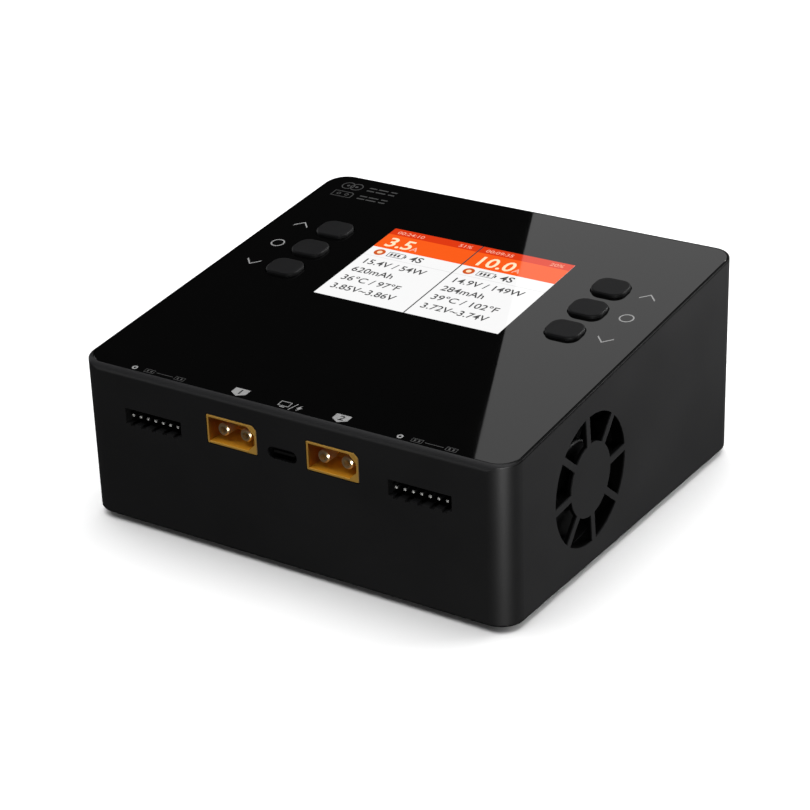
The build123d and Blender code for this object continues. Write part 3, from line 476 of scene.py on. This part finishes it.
    # Colours of the lit picture, as glossy as the pane over them.
    lit_strip = LitFinish("lit_screen_red", "#3a1408", "#40180a", 0.025, shine="#d83208")
    lit_orange = LitFinish("lit_screen_orange", "#40200c", "#48240e", 0.025, shine="#f45510")
    lit_disc = LitFinish("lit_screen_disc", "#40200c", "#48240e", 0.025, shine="#c8521c")
    lit_peach = LitFinish("lit_screen_peach", "#484038", "#504840", 0.025, shine="#ffe2bc")
    lit_clock = LitFinish("lit_screen_clock", "#484038", "#504840", 0.025, shine="#f0a48c")
    lit_text = LitFinish("lit_screen_text", "#101010", "#141414", 0.025, shine="#404040")
    lit_line = LitFinish("lit_screen_line", "#404040", "#484848", 0.025, shine="#d2d2d2")


# ---------------------------------------------------------------- places and small shapes
class SlopePlane:
    """The glossy top as a place to draw on: x across, s up the slope from the case's front edge.

    Attributes:
        out: unit vector out of the panel.
        up: unit vector up its slope.
        angle: the slope in radians.
        origin: where the panel's plane meets the case's front face, in the middle, in metres.
    """

    def __init__(self) -> None:
        """Takes the slope from the largest face of the screen's pane and its place from the pane's top."""
        pane = frame["nodes"]["display_window"].data
        top = max(pane.polygons, key=lambda face: face.area * (face.normal.z > 0.5))
        self.out = Vector(top.normal)
        self.up = Vector((0.0, self.out.z, -self.out.y))
        self.angle = math.atan2(self.up.z, self.up.y)
        height = max(self.out.dot(corner.co) for corner in pane.vertices)
        front = CAD_BOX[0][1]
        self.origin = Vector((0.0, front, (height - self.out.y * front) / self.out.z))

    def matrix(self, x: float, s: float, lift: float = 0.0, turn: float = 0.0) -> Matrix:
        """Transform from flat drawing coordinates in millimetres to a place on the slope.

        Args:
            x: millimetres to the right of the middle.
            s: millimetres up the slope from the case's front edge.
            lift: millimetres out of the surface.
            turn: rotation on the surface in degrees.

        Returns:
            The 4x4 transform.
        """
        spot = self.origin + Vector((x * MM, 0, 0)) + self.up * s * MM + self.out * lift * MM
        tilt = Matrix.Rotation(self.angle, 4, "X")
        spin = Matrix.Rotation(math.radians(turn), 4, "Z")
        return Matrix.Translation(spot) @ tilt @ spin @ Matrix.Scale(MM, 4)


def make_object(name: str, mesh: bpy.types.Mesh, finish: Finishes, body: str) -> bpy.types.Object:
    """Turns a finished mesh into a piece that rides on a body.

    Args:
        name: the piece's name.
        mesh: its mesh, already in place, in metres.
        finish: what it is made of.
        body: the CAD body that carries it.

    Returns:
        The piece.
    """
    mesh.name = name
    piece = bpy.data.objects.new(name, mesh)
    bpy.context.scene.collection.objects.link(piece)
    mesh.materials.clear()
    mesh.materials.append(finish.value.build())
    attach(piece, body)
    log.info("%s: %d faces, %s", name, len(mesh.polygons), finish.name)
    return piece


def mesh_of(shape: bmesh.types.BMesh) -> bpy.types.Mesh:
    """Writes a shape to a new mesh, with its faces turned outwards.

    Args:
        shape: the shape, which is freed.

    Returns:
        The mesh.
    """
    bmesh.ops.recalc_face_normals(shape, faces=shape.faces)
    mesh = bpy.data.meshes.new("mesh")
    shape.to_mesh(mesh)
    shape.free()
    return mesh


def thicken(shape: bmesh.types.BMesh, height: float) -> None:
    """Turns flat faces at z = 0 into a closed slab.

    Args:
        shape: the flat faces, drawn in millimetres.
        height: the slab's thickness in millimetres.
    """
    result = bmesh.ops.extrude_face_region(shape, geom=list(shape.faces))
    moved = [item for item in result["geom"] if isinstance(item, bmesh.types.BMVert)]
    bmesh.ops.translate(shape, verts=moved, vec=(0, 0, height))


@dataclass(frozen=True)
class Lettering:
    """How one kind of text is set.

    Attributes:
        cap_height: height of its capitals in millimetres.
        stretch: width as a share of the font's own.
        bold: how far the strokes are thickened, in millimetres.
    """

    cap_height: float
    stretch: float
    bold: float


class Drawing:
    """Flat marks gathered into one mesh, drawn in millimetres on the slope.

    Attributes:
        plane: the surface that it lies on.
        lift: how far its underside is above that surface, in millimetres.
        height: how thick the marks are, in millimetres.
        shape: the marks so far.
    """

    def __init__(self, plane: SlopePlane, lift: float, height: float) -> None:
        """Starts an empty drawing.

        Args:
            plane: the surface that it lies on.
            lift: how far its underside is above that surface, in millimetres.
            height: how thick the marks are, in millimetres.
        """
        self.plane = plane
        self.lift = lift
        self.height = height
        self.shape = bmesh.new()

    def _take(self, part: bmesh.types.BMesh, matrix: Matrix) -> None:
        """Moves a finished part into the drawing.

        Args:
            part: the part, which is freed.
            matrix: from the part's coordinates to its place on the slope.
        """
        bmesh.ops.transform(part, matrix=matrix, verts=part.verts)
        spare = bpy.data.meshes.new("spare")
        part.to_mesh(spare)
        part.free()
        self.shape.from_mesh(spare)
        bpy.data.meshes.remove(spare)

    def outline(self, points: Sequence[Point], x: float, s: float, turn: float = 0.0) -> None:
        """Adds a filled outline.

        Args:
            points: its corners in millimetres, in order.
            x: where its origin goes across the panel.
            s: where its origin goes up the slope.
            turn: its rotation in degrees.
        """
        part = bmesh.new()
        corners = [part.verts.new((px, py, 0)) for px, py in points]
        part.faces.new(corners)
        thicken(part, self.height)
        self._take(part, self.plane.matrix(x, s, self.lift, turn))

    def bar(self, width: float, height: float, x: float, s: float, turn: float = 0.0) -> None:
        """Adds a filled rectangle.

        Args:
            width: its width in millimetres.
            height: its height in millimetres.
            x: its middle across the panel.
            s: its middle up the slope.
            turn: its rotation in degrees.
        """
        w, h = width / 2, height / 2
        self.outline([(-w, -h), (w, -h), (w, h), (-w, h)], x, s, turn)

    def ring(self, radius: float, stroke: float, x: float, s: float, squeeze: float = 1.0) -> None:
        """Adds a ring, or a disc when the stroke is as wide as the radius.

        Args:
            radius: outer radius in millimetres.
            stroke: line width in millimetres.
            x: centre across the panel.
            s: centre up the slope.
            squeeze: its height as a share of its width.
        """
        part = bmesh.new()
        bmesh.ops.create_circle(part, cap_ends=True, radius=radius, segments=RING_CORNERS)
        if stroke < radius:
            inset = bmesh.ops.inset_region(part, faces=list(part.faces), thickness=stroke, use_boundary=True)
            middle = [face for face in part.faces if face not in inset["faces"]]
            bmesh.ops.delete(part, geom=middle, context="FACES")
        bmesh.ops.scale(part, vec=(1, squeeze, 1), verts=part.verts)
        thicken(part, self.height)
        self._take(part, self.plane.matrix(x, s, self.lift))

    def frame_line(self, points: Sequence[Point], stroke: float, x: float, s: float) -> None:
        """Adds the outline of a convex shape as a line inside it.

        Args:
            points: its corners in millimetres, in order.
            stroke: line width in millimetres.
            x: where its origin goes across the panel.
            s: where its origin goes up the slope.
        """
        part = bmesh.new()
        face = part.faces.new([part.verts.new((px, py, 0)) for px, py in points])
        part.normal_update()
        inset = bmesh.ops.inset_region(part, faces=[face], thickness=stroke, use_boundary=True)
        middle = [item for item in part.faces if item not in inset["faces"]]
        bmesh.ops.delete(part, geom=middle, context="FACES")
        thicken(part, self.height)
        self._take(part, self.plane.matrix(x, s, self.lift))

    def words(self, text: str, style: Lettering, x: float, s: float) -> float:
        """Adds digits and units, left aligned on a base line.

        Args:
            text: what is shown.
            style: how it is set.
            x: left end of the base line.
            s: height of the base line up the slope.

        Returns:
            Where the text ends on the right, in millimetres across the panel.
        """
        cap_share = 0.7
        curve = bpy.data.curves.new("words", "FONT")
        curve.body = text
        curve.size = style.cap_height / cap_share
        curve.offset = style.bold
        curve.resolution_u = 3
        holder = bpy.data.objects.new("words", curve)
        bpy.context.scene.collection.objects.link(holder)
        flat = bpy.data.meshes.new_from_object(holder.evaluated_get(bpy.context.evaluated_depsgraph_get()))
        bpy.data.objects.remove(holder)
        bpy.data.curves.remove(curve)
        part = bmesh.new()
        part.from_mesh(flat)
        bpy.data.meshes.remove(flat)
        bmesh.ops.remove_doubles(part, verts=part.verts, dist=SAME_SPOT)
        bmesh.ops.scale(part, vec=(style.stretch, 1, 1), verts=part.verts)
        end = x + max(corner.co.x for corner in part.verts)
        thicken(part, self.height)
        self._take(part, self.plane.matrix(x, s, self.lift))
        return end

    def finish(self, name: str, finish: Finishes, slot: str) -> bpy.types.Object:
        """Closes the drawing and makes it a piece on the case.

        Args:
            name: the piece's name.
            finish: what it is made of.
            slot: the record's material slot; not used.

        Returns:
            The piece.
        """
        return make_object(name, mesh_of(self.shape), finish, "case")


# ---------------------------------------------------------------- sub-assemblies
@dataclass
class Screen:
    """The lit picture on the window: two channels of readings, drawn as thin layers.

    All measures are in millimetres. A drop is measured down the slope from the picture's upper edge.

    Attributes:
        plane: the surface that it lies on.
        width: width of the picture.
        bottom: its lower edge, up the slope.
        top: its upper edge.
        middle: where the line between the channels stands.
        divider: width of that line.
        strip: height of the darker strip along the top.
        band: height of the orange band under it.
        rule: width of the thin line under each channel's signs.
        rule_drop: drop of that line.
        layer: thickness of each layer.
        margin: from a channel's left edge to its text.
        header_drop: drop of the base line in the strip.
        amps_drop: drop of the large reading's base line.
        signs_drop: drop of the row of signs' middle.
        lines_drop: drop of the first small reading's base line.
        line_pitch: from one small reading to the next.
        disc: radius of the disc in the row of signs.
        core: radius of its core.
    """

    plane: SlopePlane
    width: float = 59.4
    bottom: float = 57.2
    top: float = 99.0
    middle: float = 0.0
    divider: float = 0.4
    strip: float = 3.55
    band: float = 8.2
    rule: float = 0.16
    rule_drop: float = 17.0
    layer: float = 0.012
    margin: float = 2.1
    header_drop: float = 2.7
    amps_drop: float = 10.4
    signs_drop: float = 14.4
    lines_drop: float = 21.7
    line_pitch: float = 5.25
    disc: float = 1.75
    core: float = 0.8

    def build(self) -> None:
        """Draws the bands, the readings and the lines."""
        self.bands()
        self.readings()

    def bands(self) -> None:
        """The coloured header, the thin separators and the line between the channels."""
        strip = Drawing(self.plane, 0.0, self.layer)
        strip.bar(self.width, self.strip, 0, self.top - self.strip / 2)
        strip.finish("screen_strip", Finishes.lit_strip, "display_lit")
        band = Drawing(self.plane, 0.0, self.layer)
        band.bar(self.width, self.band, 0, self.top - self.strip - self.band / 2)
        band.finish("screen_band", Finishes.lit_orange, "display_lit")
        line = Drawing(self.plane, 0.0, 2 * self.layer)
        line.bar(self.divider, self.top - self.bottom, self.middle, (self.top + self.bottom) / 2)
        line.finish("screen_divider", Finishes.lit_text, "display_lit")
        rule = Drawing(self.plane, 0.0, self.layer)
        rule.bar(self.width, self.rule, 0, self.top - self.rule_drop)
        rule.finish("screen_rule", Finishes.lit_line, "display_lit")

    def readings(self) -> None:
        """Both channels' numbers."""
        layers = {
            "clock": Drawing(self.plane, self.layer, self.layer),
            "amps": Drawing(self.plane, self.layer, self.layer),
            "text": Drawing(self.plane, 0.0, self.layer),
            "disc": Drawing(self.plane, 0.0, self.layer),
            "core": Drawing(self.plane, self.layer, self.layer),
        }
        self.channel(layers, -self.width / 2, "00:24:10", "3.5", "51%",
                     ("15.4V / 54W", "620mAh", "36°C / 97°F", "3.85V~3.86V"))
        self.channel(layers, self.middle, "00:09:35", "10.0", "20%",
                     ("14.9V / 149W", "284mAh", "39°C / 102°F", "3.72V~3.74V"))
        layers["clock"].finish("screen_clocks", Finishes.lit_clock, "display_lit")
        layers["amps"].finish("screen_header_figures", Finishes.lit_peach, "display_lit")
        layers["text"].finish("screen_figures", Finishes.lit_text, "display_lit")
        layers["disc"].finish("screen_discs", Finishes.lit_disc, "display_lit")
        layers["core"].finish("screen_disc_cores", Finishes.lit_peach, "display_lit")

    def channel(self, layers: dict[str, Drawing], left: float, clock: str, amps: str, share: str,
                lines: Iterable[str]) -> None:
        """Lays out one channel.

        Args:
            layers: the drawings for the clock, the large reading, the dark text, the disc and its core.
            left: left edge of the channel.
            clock: running time.
            amps: the large current reading.
            share: state of charge.
            lines: the four readings under it.
        """
        start = left + self.margin
        header = self.top - self.header_drop
        reading = self.top - self.amps_drop
        signs = self.top - self.signs_drop
        disc_x, battery_x, cells_x = left + 3.9, left + 9.4, left + 14.2
        share_x = left + self.width / 2 - 6.9
        small = Lettering(1.6, 1.15, 0.01)
        layers["clock"].words(clock, small, start, header)
        layers["clock"].words(share, small, share_x, header)
        end = layers["amps"].words(amps, Lettering(5.2, 1.0, 0.12), start + 0.1, reading)
        layers["clock"].words("A", Lettering(2.3, 1.0, 0.05), end + 0.35, reading)
        layers["disc"].ring(self.disc, self.disc, disc_x, signs)
        layers["core"].ring(self.core, self.core, disc_x, signs)
        self.battery(layers["text"], battery_x, signs)
        layers["text"].words("4S", Lettering(2.9, 1.05, 0.07), cells_x, signs - 1.4)
        line = Lettering(2.75, 1.02, 0.05)
        for row, text in enumerate(lines):
            layers["text"].words(text, line, start, self.top - self.lines_drop - self.line_pitch * row)

    def battery(self, ink: Drawing, x: float, s: float) -> None:
        """A plain battery sign: a box, its cap and three bars.

        Args:
            ink: the drawing that takes it.
            x: its middle across the panel.
            s: its middle up the slope.
        """
        ink.frame_line([(-2.7, -1.35), (2.7, -1.35), (2.7, 1.35), (-2.7, 1.35)], 0.32, x, s)
        ink.bar(0.5, 1.3, x + 3.1, s)
        for step in (-1.5, -0.3, 0.9):
            ink.bar(0.7, 1.4, x + step, s)


@dataclass
class PanelMarks:
    """The signs printed on the panel, all generic.

    All measures are in millimetres.

    Attributes:
        plane: the surface that they lie on.
        layer: ink thickness.
        key_x: distance of the key signs from the middle.
        key_middle: height of the middle key signs up the slope.
        key_pitch: from there to the middle of a chevron, along the slope.
        badge_row: height of the numbered badges up the slope.
        cell_row: height of the signs over the balance headers.
        rear_x: where the two outlines of the rear inlets stand across the panel.
        round_row: height of the upper one up the slope.
        plug_row: height of the lower one.
    """

    plane: SlopePlane
    layer: float = 0.015
    key_x: float = 56.9
    key_middle: float = 78.1
    key_pitch: float = 12.9
    badge_row: float = 4.1
    cell_row: float = 3.1
    rear_x: float = -57.4
    round_row: float = 117.7
    plug_row: float = 112.3

    def build(self) -> None:
        """Prints every sign."""
        bright = Drawing(self.plane, 0.0, self.layer)
        faint = Drawing(self.plane, 0.0, self.layer)
        for side in (-1, 1):
            self.key_signs(bright, side * self.key_x)
        self.port_signs(bright, faint)
        self.rear_signs(faint)
        bright.finish("printed_signs", Finishes.ink_pale, "panel_gloss")
        faint.finish("printed_signs_faint", Finishes.ink_grey, "panel_gloss")

    def key_signs(self, ink: Drawing, x: float) -> None:
        """Chevron up, ring and chevron down beside one column of keys.

        Args:
            ink: the drawing that takes them.
            x: the column's place across the panel.
        """
        wide, high, thick = 2.35, 1.25, 0.58
        chevron = [(-wide, -high), (0, high), (wide, -high), (wide, -high - thick), (0, high - thick),
                   (-wide, -high - thick)]
        ink.outline(chevron, x, self.key_middle + self.key_pitch)
        ink.ring(2.1, 0.4, x, self.key_middle)
        ink.outline(chevron, x, self.key_middle - self.key_pitch, 180)

    def port_signs(self, bright: Drawing, faint: Drawing) -> None:
        """Signs above the front ports: numbered badges, a screen and a bolt, and a row per balance header.

        Args:
            bright: the drawing in pale ink.
            faint: the drawing in grey ink.
        """
        badge = [(-2.3, 1.7), (2.3, 1.7), (2.3, -0.6), (0, -1.9), (-2.3, -0.6)]
        digits = Drawing(self.plane, self.layer, self.layer)
        for number, x in (("1", -16.1), ("2", 15.6)):
            bright.outline(badge, x, self.badge_row)
            digits.words(number, Lettering(2.0, 1.2, 0.06), x - 0.7, self.badge_row - 0.8)
        digits.finish("badge_digits", Finishes.ink_black, "panel_gloss")
        screen = [(-1.7, -1.1), (1.7, -1.1), (1.7, 1.1), (-1.7, 1.1)]
        bright.frame_line(screen, 0.3, -1.7, self.badge_row)
        bright.bar(1.5, 0.3, -1.7, 2.6)
        bright.bar(0.25, 3.4, 1.1, 3.7, -18)
        bolt = [(0.3, 1.4), (-0.8, -0.2), (-0.1, -0.2), (-0.4, -1.4), (0.8, 0.3), (0.1, 0.3)]
        bright.outline(bolt, 3.0, 3.7)
        for x in (-50.0, 34.0):
            bright.ring(0.85, 0.45, x, self.cell_row)
            self.cell_sign(faint, x + 5.0)
            faint.bar(5.4, 0.2, x + 10.0, self.cell_row)
            self.cell_sign(faint, x + 15.0)

    def cell_sign(self, faint: Drawing, x: float) -> None:
        """A small battery outline with two cells in it.

        Args:
            faint: the drawing that takes it.
            x: its middle across the panel.
        """
        faint.frame_line([(-1.6, -0.8), (1.6, -0.8), (1.6, 0.8), (-1.6, 0.8)], 0.22, x, self.cell_row)
        for step in (-0.6, 0.6):
            faint.bar(0.5, 0.8, x + step, self.cell_row)

    def rear_signs(self, faint: Drawing) -> None:
        """Outlines of the two rear inlets, in their corner, with plain dashes after them.

        Args:
            faint: the drawing that takes them.
        """
        for step in (-1.5, 1.5):
            faint.ring(2.1, 0.35, self.rear_x + step, self.round_row)
            faint.ring(0.5, 0.5, self.rear_x + step, self.round_row)
        plug = [(-3.5, -1.7), (3.5, -1.7), (3.5, 0.9), (2.7, 1.7), (-3.5, 1.7)]
        faint.frame_line(plug, 0.35, self.rear_x, self.plug_row)
        for step in (-1.4, 1.4):
            faint.ring(0.7, 0.3, self.rear_x + step, self.plug_row)
        dashes = ((7.0, 2.6), (10.6, 3.4), (14.4, 2.2))
        for s in (118.6, 116.8, 113.1, 111.4):
            for step, width in dashes:
                faint.bar(width, 0.55, self.rear_x + step, s)


class CaseDressing:
    """Puts each CAD node's finish on it, by its material slot."""

    def build(self) -> None:
        """Dresses every node."""
        slots = {entry["node"]: entry["material_slot"] for entry in frame["record"]["subparts"]}
        for name, node in frame["nodes"].items():
            material = Finishes[slots[name]].value.build()
            if not node.material_slots:
                node.data.materials.append(material)
            for place in node.material_slots:
                place.material = material
            log.info("%s: %s", name, slots[name])


@dataclass
class Studio:
    """Camera, floor and lights.

    Attributes:
        azimuth: camera's direction round the charger, in degrees from the front.
        elevation: its height above the horizon, in degrees.
        roll: its lean in degrees.
        distance: from the aim point in metres.
        lens: focal length for a 36 mm sensor.
        aim_offset: from the middle of the CAD box to the aim point, in millimetres.
        floor_radius: radius of the floor in metres.
        floor_drop: how far the floor lies under the feet, in metres.
        card_edge: two points on the panel, across and up the slope in millimetres. The mirrored card's
            edge is seen on the line through them.
        card_reach: how far each end of that edge stands from its point on the panel, in metres.
        card_size: the card's width and height in metres.
        card_radiance: how bright it is.
        sky_strength: strength of the light from above.
        sky_width: how wide that light is, in degrees.
        sky_lean: its lean about the Y axis, in degrees.
        fill: strength of the faint light from everywhere.
    """

    azimuth: float = 34.04
    elevation: float = 25.26
    roll: float = -1.94
    distance: float = 0.6463
    lens: float = 104.14
    aim_offset: Point3 = (-1.4, -3.4, -6.0)
    floor_radius: float = 12.0
    floor_drop: float = 0.0002
    card_edge: tuple[Point, Point] = ((2.4, 122.8), (56.7, 1.0))
    card_reach: Point = (0.85, 0.75)
    card_size: Point = (1.3, 1.6)
    card_radiance: float = 0.82
    sky_strength: float = 3.45
    sky_width: float = 75.0
    sky_lean: float = -10.0
    fill: float = 0.012

    def build(self) -> None:
        """Makes the camera first, then the floor and the lights."""
        self.camera()
        self.floor()
        self.lights()

    def camera(self) -> None:
        """Places the camera round the middle of the CAD box."""
        low, high = (Vector(corner) for corner in CAD_BOX)
        aim = (low + high) / 2 + Vector(self.aim_offset) * MM
        turn, rise = math.radians(self.azimuth), math.radians(self.elevation)
        back = Vector((math.sin(turn) * math.cos(rise), -math.cos(turn) * math.cos(rise), math.sin(rise)))
        data = bpy.data.cameras.new("camera")
        data.lens = self.lens
        data.sensor_width = 36.0
        data.clip_start = 0.01
        camera = bpy.data.objects.new("camera", data)
        bpy.context.scene.collection.objects.link(camera)
        level = (-back).to_track_quat("-Z", "Y").to_matrix().to_4x4()
        lean = Matrix.Rotation(math.radians(self.roll), 4, "Z")
        camera.matrix_world = Matrix.Translation(aim + back * self.distance) @ level @ lean
        bpy.context.scene.camera = camera

    def floor(self) -> None:
        """A plain pale floor that fills every view."""
        shape = bmesh.new()
        bmesh.ops.create_circle(shape, cap_ends=True, radius=self.floor_radius, segments=64)
        mesh = mesh_of(shape)
        floor = bpy.data.objects.new("floor", mesh)
        floor.location.z = -self.floor_drop
        bpy.context.scene.collection.objects.link(floor)
        mesh.materials.append(self.floor_paint())
        floor.visible_glossy = False
        floor.visible_diffuse = False

    def floor_paint(self) -> bpy.types.Material:
        """Makes the floor's paint.

        Returns:
            The material.
        """
        # Flat white emulsion paint: even and bright, with a trace of unevenness and no shine.
        return Finish("white_studio_floor", "#f4f4f4", "#fafafa", 0.9, 0.02, 40.0, 0.0, 400.0,
                      specular=0.0).build()

    def lights(self) -> None:
        """A wide sky above, a mirrored card, cards in front and on both sides, and a faint fill."""
        self.sky()
        self.mirrored_card()
        self.area("front_card", (-0.5, -0.92, 0.22), (0, 0, 0.03), (1.2, 0.42), 1.35)
        self.area("left_card", (-1.0, 0.2, 0.22), (-0.06, 0.0, 0.03), (0.9, 0.42), 1.8)
        self.area("right_card", (0.5, 0.55, 0.2), (0.06, 0.05, 0.03), (0.4, 0.36), 4.8)
        strip = self.area("corner_strip", (0.235, -0.235, 0.035), (0.06, -0.055, 0.02), (0.09, 0.05), 0.66)
        strip.visible_diffuse = False
        world = bpy.data.worlds.new("studio_fill")
        world.use_nodes = True
        background = world.node_tree.nodes["Background"]
        background.inputs["Color"].default_value = srgb("#ffffff")
        background.inputs["Strength"].default_value = self.fill
        bpy.context.scene.world = world

    def mirrored_card(self) -> None:
        """A grey card that the panel mirrors on its right part only, up to a straight line on the gloss."""
        plane = SlopePlane()
        eye = bpy.context.scene.camera.matrix_world.translation
        below = eye - 2 * (eye - plane.origin).dot(plane.out) * plane.out
        marks = [plane.matrix(x, s) @ Vector((0, 0, 0)) for x, s in self.card_edge]
        rays = [(mark - below).normalized() for mark in marks]
        near, far = (mark + ray * reach for mark, ray, reach in zip(marks, rays, self.card_reach))
        edge = (far - near).normalized()
        middle_ray = (rays[0] + rays[1]).normalized()
        across = middle_ray.cross(edge).normalized()
        if across.x < 0:
            across = -across
        facing = edge.cross(across)
        if facing.dot(middle_ray) < 0:
            facing = -facing
        width, height = self.card_size
        centre = (near + far) / 2 + across * width / 2
        data = bpy.data.lights.new("mirrored_card", "AREA")
        data.shape = "RECTANGLE"
        data.size, data.size_y = self.card_size
        data.energy = self.card_radiance * math.pi * width * height
        lamp = bpy.data.objects.new("mirrored_card", data)
        bpy.context.scene.collection.objects.link(lamp)
        turn = Matrix((across, edge if across.cross(edge).dot(facing) > 0 else -edge, facing)).transposed()
        lamp.matrix_world = Matrix.Translation(centre) @ turn.to_4x4()
        lamp.visible_camera = False

    def sky(self) -> None:
        """Even light from above and a little left, so wide that it leaves only a soft shadow at the foot."""
        data = bpy.data.lights.new("sky", "SUN")
        data.energy = self.sky_strength
        data.angle = math.radians(self.sky_width)
        lamp = bpy.data.objects.new("sky", data)
        bpy.context.scene.collection.objects.link(lamp)
        lamp.rotation_euler.y = math.radians(self.sky_lean)
        lamp.visible_glossy = False

    def area(self, name: str, spot: Sequence[float], aim: Sequence[float], size: Point,
             power: float) -> bpy.types.Object:
        """Adds a rectangular light.

        Args:
            name: its name.
            spot: its middle in metres.
            aim: the point that it faces.
            size: its width and height in metres.
            power: its power in watts.

        Returns:
            The light.
        """
        data = bpy.data.lights.new(name, "AREA")
        data.shape = "RECTANGLE"
        data.size, data.size_y = size
        data.energy = power
        lamp = bpy.data.objects.new(name, data)
        bpy.context.scene.collection.objects.link(lamp)
        lamp.location = spot
        lamp.rotation_euler = (Vector(aim) - Vector(spot)).to_track_quat("-Z", "Y").to_euler()
        lamp.visible_camera = False
        return lamp


def main() -> None:
    """Builds the studio and the charger's looks, in order."""
    logging.basicConfig(level=logging.INFO, format="%(name)s: %(message)s")
    bpy.context.scene.view_settings.view_transform = "Standard"
    Studio().build()
    CaseDressing().build()
    plane = SlopePlane()
    Screen(plane).build()
    PanelMarks(plane).build()


if __name__ == "__main__":
    main()
